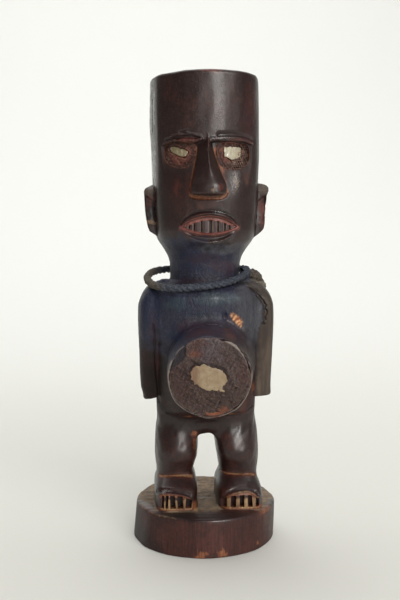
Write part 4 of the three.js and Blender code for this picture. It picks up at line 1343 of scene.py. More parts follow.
def charge_relief(x, z):
    """Height of the charge in front of the drum's face."""
    a, b = x - DRUM_X, z - DRUM_Z
    flap = ramp(0.4, -0.6, panel(a, b, FLAP) + 0.3 * wobble(x, 0, z, 3.4, 81))
    flap = flap * ramp(11, 4, a)
    high = ramp(-8, 9, b + 0.45 * a) * ramp(-0.6, 0.6, a - CRESCENT(b))
    slip = panel(a, b, BELLY_SLIP)
    lumps = 0.32 * wobble(x, 0, z, 6.5, 82, 9) + 0.2 * wobble(x, 0, z, 2.4, 83, 11)
    lumps = (lumps + 0.07 * wobble(x, 0, z, 1.2, 84, 11)) * (1 - 0.8 * ramp(0.5, -1.5, slip))
    sunk = ramp(3.2, 0.2, slip) * (0.25 + 0.75 * ramp(-6, 4, b))
    left_pocket = 0.6 * np.exp(-((a + 13.6) ** 2 + ((b - 1) * 0.45) ** 2) / 4)
    knob = 0.8 * np.exp(-((a - 1) ** 2 + (b + 12.1) ** 2) / 1.6)
    crumb = 0.7 * np.exp(-((a - 6.9) ** 2 + (b + 10) ** 2) / 0.9)
    edge_lip = 0.35 * ramp(2.4, 0.6, np.abs(np.hypot(a, b) - 21.6)) * (a > -6)
    edge_lip = edge_lip * ramp(-2, 6, b)
    flush = most(ramp(0.4, -0.8, a - CRESCENT(b)), ramp(-14, -20, a) * ramp(4, -6, b))
    level = 0.2 + 0.85 * high + 0.5 * flap - 0.9 * sunk - left_pocket + knob + crumb + lumps + edge_lip
    return level * (1 - 0.85 * flush)


def charge_shape(x, y, z):
    """The cake of resin: inside the pit below, and over the drum's rim above."""
    a, b = x - DRUM_X, z - DRUM_Z
    angle = np.degrees(np.arctan2(b, a))
    under = np.hypot(a, b * 1.035) - CHARGE_RADIUS - 0.1
    flap_edge = np.hypot(a, b) - FLAP_EDGE(angle)
    share = ramp(-6, 6, b)
    outline = under * (1 - share) + flap_edge * share + 0.16 * wobble(x, 0, z, 4, 85)
    front = (-y - DRUM_FRONT - charge_relief(x, z)) * 0.8
    return meet(meet(outline, front, 0.55), y + DRUM_FRONT - CHARGE_DEPTH + 0.2, 0.3)


def made_from(name, shape, low, high, step, most_triangles):
    """Skins a shape inside a box and returns its object, points and normals."""
    lines = [grid_line((a, b, step)) for a, b in zip(low, high)]
    made = thinned(mesh_object(name, *skin(shape, lines)), most_triangles)
    p, n = finished(made, shape)
    print(name, triangles(made.data), "triangles")
    return made, p, n


belly_charge, p, n = made_from(
    "belly_charge", charge_shape, (-27, -58.5, 82), (24, -49, 134), 0.34, 90_000)
a, b = p[:, 0] - DRUM_X, p[:, 2] - DRUM_Z
angle = np.degrees(np.arctan2(b, a))
bare_edge = a - CRESCENT(b) + 0.3 * wobble(*p.T, 4, 14)
lip_part = ramp(8, 20, angle) * ramp(78, 66, angle)
lip_part = lip_part * (0.35 + 0.65 * ramp(24, 38, angle))
round_slip = ramp(2.6, 0.2, panel(a, b, BELLY_SLIP)) * (0.35 + 0.5 * ramp(0, 5, b))
# Painted light on the charge. The hollow mark darkens its dips as painted shade. The shade mark is painted
# shade round the slip and on its left and lower parts. The edge and lip marks are painted highlights on
# its ridges and along the flap's rim.
store(belly_charge, edge=ramp(0.05, 0.4, bend_of(charge_shape, p, n, 0.7)),
      hollow=ramp(0, -0.35, bend_of(charge_shape, p, n, 0.8)),
      red=spots(p, RESIN_RED), orange=spots(p, RESIN_ORANGE),
      lilac=patch(p, (-1.3, -55, 123.6), (9, 6, 10), 87, 0.2),
      low=ramp(6, -9, b + 0.3 * a + 1.2 * wobble(*p.T, 7, 86)),
      bare=ramp(0.3, -0.7, bare_edge) * ramp(0, 5, b),
      lip=ramp(21.4, 22, np.hypot(a, b)) * lip_part,
      shade=most(round_slip, 0.8 * patch(p, (-15.4, -54, 110), (2.4, 5, 6)),
                 0.5 * patch(p, (-19, -54, 105), (9, 6, 18), 88, 0.2),
                 0.3 * patch(p, (4, -54, 92), (22, 6, 9), 89, 0.25)))

# %% [markdown]
# ## The pale slips and the eye paste
# The slips are chipped bits of glass over something pale: flat, with broken outlines. Each is its
# outline given a thickness, with edges a little rounded and a faintly uneven face. The eye slips lie
# in a reddish paste that was pushed into the pits with a finger, so its surface is lumpy.

# %% Slips and paste
SLIP_THICK = 1.6
EYE_SLIPS = {
    "right_eye_slip": [
        (-21.4, 237.6), (-19.6, 237.5), (-16.6, 236.4), (-14.1, 235.4), (-12.6, 234.5), (-12.2, 233.1),
        (-14, 231.4), (-15.8, 231.5), (-18.2, 232.6), (-20.4, 233.8), (-21.8, 235), (-22.2, 236.4)],
    "left_eye_slip": [
        (8.8, 237.1), (12.9, 237.6), (18.7, 237.3), (19.8, 235.8), (19, 233.8), (18.5, 231.6),
        (15.8, 230.5), (13.5, 229.8), (10.6, 231.2), (8.9, 231.7), (8.6, 234.9)],
}


def paste_shape(side):
    """A bed that rises to the rim of its pit and in a ring round the slip. The left one has a heap."""
    outline = list(EYE_SLIPS.values())[side]

    def shape(x, y, z):
        height = face_height(x, y, z) + under_brow(z)
        lumps = 0.5 * wobble(x, y, z, 3.4, 91 + side) + 0.25 * wobble(x, y, z, 1.7, 93 + side)
        rim = 1.4 * ramp(-3.6, 0, pit_edge(x, z, side))
        ring = 0.35 * np.exp(-((panel(x, z, outline) - 1.1) / 0.6) ** 2)
        heap = side * ramp(13, 19, x - (z - 232) * 0.5) * (0.8 + 0.45 * wobble(x, y, z, 1.5, 95))
        front = (height + 1.7 - rim - ring - heap - (0.5 + 0.35 * side) * lumps) * 0.75
        return meet(meet(pit_edge(x, z, side) - 0.35, front, 0.3), -(height + 3.9), 0.3)
    return shape


def slip_shape(outline, chipping, front_of, seed):
    """A flat chip of glass behind a front, its outline broken by chipping."""
    def shape(x, y, z):
        broken = wobble(x, 0, z, 1.5, seed) + 0.5 * wobble(x, 0, z, 0.7, seed)
        edge = panel(x, z, outline) + chipping * broken
        face = front_of(x, y, z) + 0.08 * wobble(x, 0, z, 5, seed + 1)
        face = face + 0.03 * wobble(x, 0, z, 1.6, seed + 2)
        return meet(meet(edge, face, 0.35), -(face + SLIP_THICK), 0.3)
    return shape


def eye_slip_front(x, y, z):
    """The face of an eye slip, set back from the sheet of the face."""
    return face_height(x, y, z) + under_brow(z) + 0.8


def belly_slip_front(x, y, z):
    """The face of the belly slip, a little proud of the drum's front."""
    return -y - DRUM_FRONT - 0.55


eye_pastes, eye_slips = [], []
for side, (slip_name, outline) in enumerate(EYE_SLIPS.items()):
    cx, cz = EYES[side][:2]
    low, high = (cx - 11, -33, cz - 10), (cx + 11, -12, cz + 10)
    bed = paste_shape(side)
    paste, p, n = made_from(slip_name.replace("slip", "bed"), bed, low, high, 0.34, 30_000)
    bend = bend_of(bed, p, n, 0.6)
    below_right = (p[:, 0] - 13) * 0.7 - (p[:, 2] - 231) * 0.7 + 0.8 * wobble(*p.T, 4, 97)
    beside_nose = (0.8, -1)[side] * p[:, 0] + p[:, 2] - 232
    inside = pit_edge(p[:, 0], p[:, 2], side) + 0.8 * wobble(*p.T, 3.4, 98)
    # Painted light on the paste: hollow and shade are painted shade in its dips and near the pit's rim,
    # edge is a painted highlight on its ridges, and the grey at the lower outer side of the left eye is
    # partly its colour and partly a painted highlight.
    store(paste, hollow=ramp(0, -0.35, bend), edge=ramp(0.05, 0.4, bend),
          grey=side * ramp(-1, 4, below_right),
          rosy=ramp(*((-9, -2), (-10, -1))[side], beside_nose),
          shade=ramp(-4.5, -0.5, inside))
    eye_pastes.append(paste)
    slip_form = slip_shape(outline, 0.12, eye_slip_front, 101 + side)
    slip, p, n = made_from(slip_name, slip_form, low, high, 0.3, 12_000)
    store(slip, stained=(1 - side) * (0.75 + 0.3 * wobble(*p.T, 3, 99)))
    eye_slips.append(slip)

belly_outline = [(a + DRUM_X, b + DRUM_Z) for a, b in BELLY_SLIP]
belly_form = slip_shape(belly_outline, 0.22, belly_slip_front, 111)
belly_slip, p, n = made_from("belly_slip", belly_form, (-17, -57, 99), (11, -51, 118), 0.3, 20_000)

# %% [markdown]
# ## The knot
# The two ends of the cord are tied once over the left shoulder and one short end lies down over it.
# Loops of the same rope are laid over each other and fused, because the crust has closed the gaps
# between them.

# %% Knot
KNOT_LOOPS = [
    [(20.4, -9.4, 162.8), (23.4, -5.6, 163), (25.6, -2.6, 162.6)],
    [(21.4, -9, 160.8), (24, -5, 161.2), (27, -1, 161.2)],
    [(19.8, -10, 164.9), (22.6, -7.4, 165.4), (25.2, -4, 164.6)],
    [(24.2, -6.4, 163.2), (23.8, -4.6, 164.8), (24.8, -1.6, 165.2), (26.2, 1.4, 164)],
    [(26.8, -3.4, 161.6), (27.6, -3.8, 162.8), (28.4, -1, 163.7), (28.4, 1.8, 162.6), (28, 2.8, 161)],
    [(30, -3.2, 160.2), (30.6, -3, 162), (30.8, -0.4, 163), (30.6, 2, 161.8), (30.4, 2.4, 160.2)],
    [(32.2, -2.2, 159.2), (32.4, -1.8, 160.8), (32.3, 0.6, 161.2), (32, 1.8, 159.6)],
    [(26.4, -1.2, 161.6), (30.6, -1, 160.4), (33.2, -1, 158.8), (34.4, -1.2, 157.2), (35, -1.6, 155.8)],
    [(26.2, -6, 158.6), (29.4, -5.4, 157.6), (33, -4.4, 156.4), (35, -3, 155.4)],
]
KNOT_STRAND = 1.75  # radius of a strand


def knot_shape(x, y, z):
    """The strands, fused where they touch, with their plies and their crust."""
    best = np.full(x.shape, 1e3)
    for loop in KNOT_LOOPS:
        for p0, p1 in zip(loop[:-1], loop[1:]):
            way = np.subtract(p1, p0)
            offset = [value - start for value, start in zip((x, y, z), p0)]
            share = np.clip(sum(o * w for o, w in zip(offset, way)) / (way @ way), 0, 1)
            rest = np.sqrt(sum((o - share * w) ** 2 for o, w in zip(offset, way)))
            best = blend_in(best, rest - KNOT_STRAND, 0.8)
    ply = 0.14 * np.sin((x + y * 0.8 + z * 0.5) * 2.6)
    return best + ply + 0.25 * wobble(x, y, z, 3, 121) + 0.12 * wobble(x, y, z, 1.2, 122)


rope_knot, p, n = made_from("rope_knot", knot_shape, (20, -10, 152), (40, 7, 171), 0.32, 30_000)

# %% [markdown]
# ## Grit in the resin
# Grains of earth stand out of the charge and the eye beds. Hundreds of them are needed, all alike, so
# Geometry Nodes scatter one small stone over the faces that look forward, turned and sized at random
# from a fixed seed, and join it to the piece it sits in.

# %% Grit node tree
def grit_tree():
    """Scatters small stones over the faces that look forward."""
    tree, given, out = geometry_tree("scattered_grit", Density="Float", Grain="Float", Seed="Int",
                                     Material="Material")
    normal = tree.nodes.new("GeometryNodeInputNormal").outputs[0]
    ahead = add_node(tree, "ShaderNodeSeparateXYZ", _0=normal).outputs[1]
    facing = add_node(tree, "FunctionNodeCompare", {"operation": "LESS_THAN"}, A=ahead, B=-0.55).outputs[0]
    places = add_node(tree, "GeometryNodeDistributePointsOnFaces", Mesh=given["Geometry"],
                      Selection=facing, Density=given["Density"], Seed=given["Seed"])
    stone = add_node(tree, "GeometryNodeMeshIcoSphere", Radius=given["Grain"], Subdivisions=1)
    turned = add_node(tree, "FunctionNodeRandomValue", {"data_type": "FLOAT_VECTOR"}, _1=(6.3, 6.3, 6.3),
                      Seed=3)
    sized = add_node(tree, "FunctionNodeRandomValue", {"data_type": "FLOAT_VECTOR"}, _0=(0.35, 0.35, 0.35),
                     _1=(1.1, 0.9, 1.3), Seed=4)
    placed = add_node(tree, "GeometryNodeInstanceOnPoints", Points=places.outputs[0],
                      Instance=stone.outputs[0], Rotation=turned.outputs[0], Scale=sized.outputs[0])
    both = add_node(tree, "GeometryNodeJoinGeometry")
    tree.links.new(given["Geometry"], both.inputs[0])
    tree.links.new(placed.outputs[0], both.inputs[0])
    real = add_node(tree, "GeometryNodeRealizeInstances", Geometry=both.outputs[0])
    dressed = add_node(tree, "GeometryNodeSetMaterial", Geometry=real.outputs[0],
                       Material=given["Material"])
    tree.links.new(dressed.outputs[0], out)
    return tree


scatter = grit_tree()
belly_charge = grown(belly_charge, scatter, "belly_charge", {
    "Density": 260_000.0, "Grain": 0.34 * MM, "Seed": 7, "Material": materials["charge_resin"]})
eye_pastes = [grown(paste, scatter, paste.name, {
    "Density": 260_000.0, "Grain": 0.26 * MM, "Seed": 8 + i, "Material": materials["eye_paste"]})
    for i, paste in enumerate(eye_pastes)]
print("belly charge with grit", triangles(belly_charge.data), "triangles")

# %% [markdown]
# ## Shared surface effects
# Three effects come back in most finishes: fine long grain, a crackled skin, and patches with broken
# edges. Each is a shader node group that puts out only masks and heights, so every material can mix
# them with its own colours. They read Object coordinates, which stay with the piece from any side.

# %% Shader node groups
def tone(red, green, blue):
    """A colour given as it looks on screen, 0 to 255, as the linear value that shaders use."""
    return tuple((c / 255 / 12.92) if c < 11 else ((c / 255 + 0.055) / 1.055) ** 2.4
                 for c in (red, green, blue)) + (1.0,)


def new_group(name, inputs, outputs):
    tree = bpy.data.node_groups.new(name, "ShaderNodeTree")
    for socket, value in inputs.items():
        made = tree.interface.new_socket(socket, in_out="INPUT", socket_type="NodeSocketFloat")
        made.default_value = value
    for socket in outputs:
        tree.interface.new_socket(socket, in_out="OUTPUT", socket_type="NodeSocketFloat")
    return tree, tree.nodes.new("NodeGroupInput").outputs, tree.nodes.new("NodeGroupOutput").inputs


def object_place(tree, stretch=(1, 1, 1)):
    """Object coordinates in metres, stretched along the axes with small numbers."""
    spot = tree.nodes.new("ShaderNodeTexCoord").outputs["Object"]
    return add_node(tree, "ShaderNodeMapping", Vector=spot, Scale=stretch).outputs[0]


def long_grain_group():
    """Fine fibres along the height, mixed with broader ones."""
    tree, given, out = new_group("long_grain", {"Size": 900.0, "Detail": 5.0}, ("Mask", "Height"))
    place = object_place(tree, (1, 1, 0.07))
    fine = add_node(tree, "ShaderNodeTexNoise", Vector=place, Scale=given["Size"], Detail=given["Detail"],
                    Roughness=0.65, Distortion=0.4)
    broad = add_node(tree, "ShaderNodeTexNoise", Vector=object_place(tree, (1, 1, 0.3)),
                     Scale=math_node(tree, "MULTIPLY", given["Size"], 0.12), Detail=3.0)
    broad_part = math_node(tree, "MULTIPLY", broad.outputs[0], 0.4)
    both = math_node(tree, "MULTIPLY_ADD", fine.outputs[0], 0.6, broad_part)
    tree.links.new(smooth_share(tree, both, 0.38, 0.62), out["Mask"])
    tree.links.new(fine.outputs[0], out["Height"])
    return tree


def crackle_group():
    """Plates with cracks between them, drawn out along the height when Streaks is below 1."""
    tree, given, out = new_group("crackled_skin", {"Size": 700.0, "Streaks": 1.0}, ("Mask", "Height"))
    spot = tree.nodes.new("ShaderNodeTexCoord").outputs["Object"]
    bent = add_node(tree, "ShaderNodeTexNoise", Vector=spot, Scale=240.0, Detail=2.0)
    shift = add_node(tree, "ShaderNodeVectorMath", {"operation": "SCALE"}, _0=bent.outputs[1], Scale=0.003)
    moved = add_node(tree, "ShaderNodeVectorMath", {"operation": "ADD"}, _0=spot, _1=shift.outputs[0])
    scale = add_node(tree, "ShaderNodeCombineXYZ", _0=1.0, _1=1.0, _2=given["Streaks"])
    drawn = add_node(tree, "ShaderNodeVectorMath", {"operation": "MULTIPLY"}, _0=moved.outputs[0],
                     _1=scale.outputs[0])
    plates = add_node(tree, "ShaderNodeTexVoronoi", {"feature": "DISTANCE_TO_EDGE"},
                      Vector=drawn.outputs[0], Scale=given["Size"])
    crack = add_node(tree, "ShaderNodeMapRange", _0=plates.outputs[0], _1=0.0, _2=0.12, _3=1.0, _4=0.0)
    grains = add_node(tree, "ShaderNodeTexNoise", Vector=drawn.outputs[0],
                      Scale=math_node(tree, "MULTIPLY", given["Size"], 1.6), Detail=4.0, Roughness=0.7)
    height = math_node(tree, "MULTIPLY_ADD", crack.outputs[0], -0.45, grains.outputs[0])
    tree.links.new(crack.outputs[0], out["Mask"])
    tree.links.new(height, out["Height"])
    return tree


def broken_patch_group():
    """Breaks up the edge of a mask with noise."""
    defaults = {"Mask": 0.0, "Size": 300.0, "Sharpness": 0.25}
    tree, given, out = new_group("broken_patch", defaults, ("Mask",))
    noise = add_node(tree, "ShaderNodeTexNoise", Vector=object_place(tree), Scale=given["Size"],
                     Detail=6.0, Roughness=0.68)
    cut = math_node(tree, "SUBTRACT", math_node(tree, "MULTIPLY", given["Mask"], 1.15), noise.outputs[0])
    low = math_node(tree, "MULTIPLY", given["Sharpness"], -0.5)
    high = math_node(tree, "MULTIPLY", given["Sharpness"], 0.5)
    soft = smooth_share(tree, cut, low, high)
    present = add_node(tree, "ShaderNodeMapRange", _0=given["Mask"], _1=0.0, _2=0.12)
    kept = math_node(tree, "MULTIPLY", soft, present.outputs[0])
    tree.links.new(kept, out["Mask"])
    return tree


GROUPS = {"grain": long_grain_group(), "crackle": crackle_group(), "patch": broken_patch_group()}


class Finish:
    """Writes one material: named masks, and layers of colour over a Principled shader."""

    def __init__(self, name, stored=(), broken=(), **plain):
        """Stored marks are read as they are. A broken one is a row: its name, the share it covers
        (None reads the stored mark), the size of its breaks and their sharpness."""
        self.tree = materials[name].node_tree
        self.shader = self.tree.nodes["Principled BSDF"]
        for key, value in plain.items():
            self.shader.inputs[key.replace("_", " ")].default_value = value
        self.masks = {mark: self.mark(mark) for mark in stored}
        for mark, share, size, sharpness in broken:
            covered = self.mark(mark) if share is None else share
            self.masks[mark] = self.group("patch", Mask=covered, Size=size, Sharpness=sharpness)["Mask"]

    def mark(self, name):
        return add_node(self.tree, "ShaderNodeAttribute", {"attribute_name": name}).outputs["Fac"]

    def group(self, name, **values):
        return add_node(self.tree, "ShaderNodeGroup", {"node_tree": GROUPS[name]}, **values).outputs

    def times(self, *values):
        result = values[0]
        for value in values[1:]:
            result = math_node(self.tree, "MULTIPLY", result, value)
        return result

    def layer(self, mask, below, above):
        """The colour above over the one below, where the mask is 1."""
        node = add_node(self.tree, "ShaderNodeMix", {"data_type": "RGBA"}, _0=mask, _6=below, _7=above)
        return node.outputs[2]

    def tones(self, dark, light=None, by=None):
        """One tone, or two tones that the mask called by mixes."""
        if light is None:
            return tone(*dark)
        return self.layer(self.masks[by], tone(*dark), tone(*light))

    def paint(self, colour, rows):
        """Lays tones over a colour. Each row has a mask's name, a strength and what tones() takes."""
        for name, strength, *tones in rows:
            colour = self.layer(self.times(self.masks[name], strength), colour, self.tones(*tones))
        return colour

    def level(self, mask, below, above):
        """A plain number that goes from below to above with the mask."""
        node = add_node(self.tree, "ShaderNodeMapRange", _0=mask, _1=0.0, _2=1.0, _3=below, _4=above)
        return node.outputs[0]

    def done(self, colour, rough, relief, distance, strength):
        """Joins the colour, the roughness and a relief of the given height to the shader."""
        bump = add_node(self.tree, "ShaderNodeBump", Height=relief, Distance=distance, Strength=strength)
        for socket, value in (("Base Color", colour), ("Roughness", rough), ("Normal", bump.outputs[0])):
            self.tree.links.new(value, self.shader.inputs[socket])


# %% [markdown]
# ## The wood's finish
# The wood was blackened and handled for years, so its dark skin is glossy and slightly red. Marks lie
# over it in this order: plum stains, rubbed red wood, dust with some painted light on the shoulders'
# tops, fresh orange cuts, pink lips and blue stains with one spot of painted shade, then the matte
# crust with its painted teal sheen and its grey, partly painted light, then painted shade in the
# hollows, the teeth, the trodden base, painted shade, worn edges with a few painted highlights, the
# painted highlight along the drum's rim and the one bare chip. Each is a row of a table, so the order
# can be read off.

# %% Wood tables
# A row of broken marks has its name, the share it covers (None reads the stored mark), the size of its
# breaks and their sharpness.
WOOD_MARKS = (
    ("mottle", 0.5, 150, 0.9), ("fleck", 0.34, 900, 0.3), ("worn_off", 0.52, 420, 0.8),
    ("plum", None, 200, 0.9), ("red", None, 300, 1.1), ("dust", None, 300, 0.9),
    ("carved", None, 500, 0.7), ("pink", None, 500, 0.9), ("blue", None, 170, 1.3),
    ("crust", None, 200, 1.2), ("teal", None, 240, 1.2), ("grey", None, 260, 1.0),
    ("trodden", None, 260, 1.0), ("worn", None, 600, 0.8), ("polished", None, 140, 1.3))
SKIN_LAYERS = (
    ("streaks", 0.5, (34, 20, 18)), ("mottle", 0.6, (54, 31, 27)), ("fleck", 0.4, (66, 48, 43)),
    ("plum", 0.8, (34, 24, 29), (56, 38, 42), "mottle"),
    ("red", 0.8, (70, 32, 28), (102, 52, 42), "grain"),
    ("dust", 0.85, (62, 52, 45), (98, 84, 71), "streaks"),
    ("carved", 0.9, (110, 57, 36), (152, 98, 64), "grain"),
    ("pink", 1, (108, 52, 44), (142, 88, 78), "grain"), ("blue", 0.8, (22, 28, 46)))
CRUST_LAYERS = (
    ("mottle", 0.5, (50, 38, 46)), ("fleck", 0.6, (78, 84, 96)), ("cracks", 0.5, (24, 27, 34)),
    ("blue", 0.6, (18, 26, 50)), ("plum", 0.55, (58, 36, 46)),
    ("teal", 0.75, (40, 58, 66), (70, 86, 92), "streaks"),
    ("grey", 0.75, (54, 54, 60), (88, 88, 92), "streaks"))
# The trodden base, worn edges and bare chip are the wood's own. The shade row is painted shade, the line
# round the drum's rim is a painted highlight, and a few worn spots are partly painted highlights.
WEAR_AND_PAINTED_LIGHT_LAYERS = (
    ("trodden", 1, (88, 68, 52), (142, 120, 95), "streaks"), ("shade", 0.7, (16, 11, 11)),
    ("worn", 1, (120, 85, 56), (172, 140, 100), "grain"), ("pale_rim", 1, (136, 126, 114)),
    ("bare", 1, (138, 82, 52), (224, 170, 124), "stripe"))
WOOD_ROUGHNESS = (("red", 0.42), ("dust", 0.55), ("carved", 0.5), ("crust", 0.52), ("dull", 0.62),
                  ("trodden", 0.8), ("teeth", 0.4), ("worn", 0.5), ("bare", 0.75))


# %% Wood material
def finish_wood():
    stored = ("hollow", "shade", "dull", "teeth", "tooth_edge", "pale_rim", "bare", "stripe")
    wood = Finish("oiled_carved_wood", stored, WOOD_MARKS, Specular_IOR_Level=0.36, Coat_Roughness=0.27)
    tree, masks = wood.tree, wood.masks
    grain = wood.group("grain", Size=900.0)
    crackle = wood.group("crackle", Size=420.0, Streaks=0.45)
    masks["grain"], masks["cracks"] = grain["Mask"], crackle["Mask"]
    masks["streaks"] = wood.group("grain", Size=260.0)["Mask"]
    colour = wood.paint(wood.tones((14, 9, 8), (24, 15, 14), "grain"), SKIN_LAYERS)
    crust = wood.paint(wood.tones((23, 32, 52), (47, 58, 83), "streaks"), CRUST_LAYERS)
    colour = wood.layer(wood.times(masks["crust"], 0.9), colour, crust)
    # Painted shade: the creases and hollows are darkened in the colour.
    colour = wood.paint(colour, (("hollow", 0.6, (16, 10, 9)),))
    teeth = wood.tones((58, 46, 48), (136, 118, 110), "tooth_edge")
    teeth = wood.paint(teeth, (("streaks", 0.5, (90, 64, 58)),))
    colour = wood.paint(wood.layer(masks["teeth"], colour, teeth), WEAR_AND_PAINTED_LIGHT_LAYERS)
    matte = wood.times(masks["worn_off"], 0.22)
    for name in ("crust", "dust", "trodden", "dull"):
        matte = math_node(tree, "MAXIMUM", matte, masks[name])
    coat = math_node(tree, "MULTIPLY_ADD", masks["polished"], 0.45, wood.level(matte, 0.36, 0.03))
    tree.links.new(coat, wood.shader.inputs["Coat Weight"])
    rough = wood.level(masks["grain"], 0.37, 0.45)
    for name, value in WOOD_ROUGHNESS:
        kept = wood.times(rough, math_node(tree, "SUBTRACT", 1.0, masks[name]))
        rough = math_node(tree, "ADD", kept, wood.times(masks[name], value))
    rough = math_node(tree, "MULTIPLY_ADD", masks["polished"], -0.2, rough)
    relief = wood.times(grain["Height"], 0.1)
    for height in (wood.times(crackle["Height"], masks["crust"], 0.7), wood.times(masks["fleck"], 0.2),
                   wood.times(masks["worn_off"], -0.1)):
        relief = math_node(tree, "ADD", relief, height)
    wood.done(colour, rough, relief, 0.0005, 0.6)


finish_wood()

# %% [markdown]
# ## The charge, the eye paste, the slips and the cord
# These four are made in the same way: a base of two tones that a broken pattern mixes, then the layers
# of a table, then a crackled or grainy relief. The charge is the richest, because its dirt, its rubbed
# red places and its orange edge all show. The charge and the eye paste also carry painted shade in their
# dips and near their rims, and painted highlights on their ridges. The slips are glassy, so they have a
# coat over their stains.

# %% The other materials
CHARGE_MARKS = (
    ("blotch", 0.5, 330, 0.8), ("specks", 0.36, 1300, 0.2), ("pits", 0.4, 800, 0.3),
    ("stains", 0.5, 130, 0.7), ("red", None, 420, 1.2), ("lilac", None, 420, 0.9),
    ("orange", None, 600, 0.9))
# The hollow and shade rows are painted shade, and the edge and lip rows are painted highlights.
CHARGE_LAYERS = (
    ("low", 0.7, (54, 40, 34), (84, 64, 53), "blotch"),
    ("lilac", 0.85, (88, 80, 88), (118, 110, 116), "blotch"), ("stains", 0.5, (78, 46, 38)),
    ("pits", 0.6, (34, 24, 24)), ("specks", 0.5, (132, 114, 106)), ("red", 0.8, (86, 46, 42)),
    ("shade", 0.75, (36, 22, 22)), ("cracks", 0.5, (44, 32, 32)), ("hollow", 0.5, (28, 18, 18)),
    ("edge", 0.3, (142, 120, 110)), ("orange", 1, (128, 58, 42), (150, 98, 68), "blotch"),
    ("bare", 1, (44, 38, 42)), ("lip", 0.8, (168, 156, 146)))
PASTE_MARKS = (("blotch", 0.5, 520, 0.6), ("rosy", None, 420, 0.8))
# The shade and hollow rows are painted shade, the edge row a painted highlight, and the grey row partly a
# painted highlight.
PASTE_LAYERS = (
    ("rosy", 1, (120, 62, 50), (148, 92, 74), "blotch"),
    ("grey", 0.85, (96, 76, 64), (150, 126, 112), "blotch"), ("shade", 0.85, (44, 30, 27)),
    ("cracks", 0.5, (52, 28, 24)), ("hollow", 0.6, (42, 24, 20)), ("edge", 0.3, (160, 120, 102)))
SLIP_MARKS = (("streak", 0.5, 240, 0.7), ("stains", 0.36, 520, 0.4), ("stained", None, 420, 0.9))
CORD_MARKS = (("blotch", 0.48, 260, 0.8), ("flecks", 0.4, 900, 0.2))
CORD_LAYERS = (
    ("cracks", 0.4, (26, 26, 30)), ("flecks", 0.3, (112, 120, 128)),
    ("brown", 1, (66, 58, 50), (94, 86, 74), "blotch"), ("pale", 1, (112, 104, 92)))


def finish_charge():
    resin = Finish("charge_resin", ("low", "shade", "hollow", "edge", "bare", "lip"), CHARGE_MARKS,
                   Specular_IOR_Level=0.45)
    crackle = resin.group("crackle", Size=560.0, Streaks=1.0)
    resin.masks["cracks"] = crackle["Mask"]
    colour = resin.paint(resin.tones((62, 50, 49), (104, 91, 87), "blotch"), CHARGE_LAYERS)
    skin = math_node(resin.tree, "ADD", crackle["Height"], resin.times(resin.masks["pits"], -0.8))
    resin.done(colour, resin.level(resin.masks["specks"], 0.42, 0.62), skin, 0.0008, 0.7)


def finish_paste():
    paste = Finish("eye_paste", ("grey", "shade", "hollow", "edge"), PASTE_MARKS, Specular_IOR_Level=0.4)
    crackle = paste.group("crackle", Size=900.0, Streaks=1.0)
    paste.masks["cracks"] = crackle["Mask"]
    colour = paste.paint(paste.tones((82, 42, 36), (112, 66, 54), "blotch"), PASTE_LAYERS)
    paste.done(colour, paste.level(paste.masks["blotch"], 0.42, 0.6), crackle["Height"], 0.0004, 0.6)


def finish_slip(name, pale, warm, stain, soil):
    slip = Finish(name, (), SLIP_MARKS, Specular_IOR_Level=0.5, Coat_Weight=0.4, Coat_Roughness=0.15)
    layers = (("stains", 0.55, stain), ("stained", 0.8, soil))
    colour = slip.paint(slip.tones(pale, warm, "streak"), layers)
    fine = slip.group("grain", Size=700.0)["Height"]
    slip.done(colour, slip.level(slip.masks["stains"], 0.28, 0.5), fine, 0.0001, 0.4)


def finish_cord():
    cord = Finish("crusted_cord", ("brown", "pale"), CORD_MARKS, Specular_IOR_Level=0.4)
    crackle = cord.group("crackle", Size=900.0, Streaks=1.0)
    cord.masks["cracks"] = crackle["Mask"]
    colour = cord.paint(cord.tones((38, 42, 52), (62, 66, 78), "blotch"), CORD_LAYERS)
    cord.done(colour, cord.level(cord.masks["blotch"], 0.48, 0.64), crackle["Height"], 0.0005, 0.7)


finish_charge()
finish_paste()
finish_slip("belly_glass", (166, 150, 120), (136, 112, 82), (108, 86, 62), (112, 80, 58))
finish_slip("eye_glass", (196, 190, 172), (176, 166, 140), (146, 128, 98), (112, 98, 66))
finish_cord()

# %% Marks on the cord, the knot and the belly slip
p = points_of(neck_rope.data)
store(neck_rope, brown=ramp(-24, -33, p[:, 0]))
p = points_of(rope_knot.data)
store(rope_knot, brown=ramp(26, 28, p[:, 0]),
      pale=ramp(158.6, 157.4, p[:, 2]) * ramp(27, 30, p[:, 0]))
p = points_of(belly_slip.data)
store(belly_slip, stained=ramp(-5, -12.5, p[:, 0] + 0.8 * wobble(*p.T, 5, 112)))
for piece, name in ((carved_wood, "oiled_carved_wood"), (belly_slip, "belly_glass"),
                    (eye_slips[0], "eye_glass"), (eye_slips[1], "eye_glass"), (rope_knot, "crusted_cord")):
    piece.data.materials.clear()
    piece.data.materials.append(materials[name])
print("materials", [m.name for m in materials.values()])

# %% [markdown]
# ## Studio floor and light
# The picture has a white sweep behind and a dim room in front. The sweep makes the bright rims on the
# dark wood, so it has to be a real surface: a floor that curves up into a wall. A large soft lamp
# overhead lights it. Three lamps at the right front light the figure: one fills it without gloss, and a
# narrow strip and a small softbox give only gloss, the long highlight and the sheen beside it.

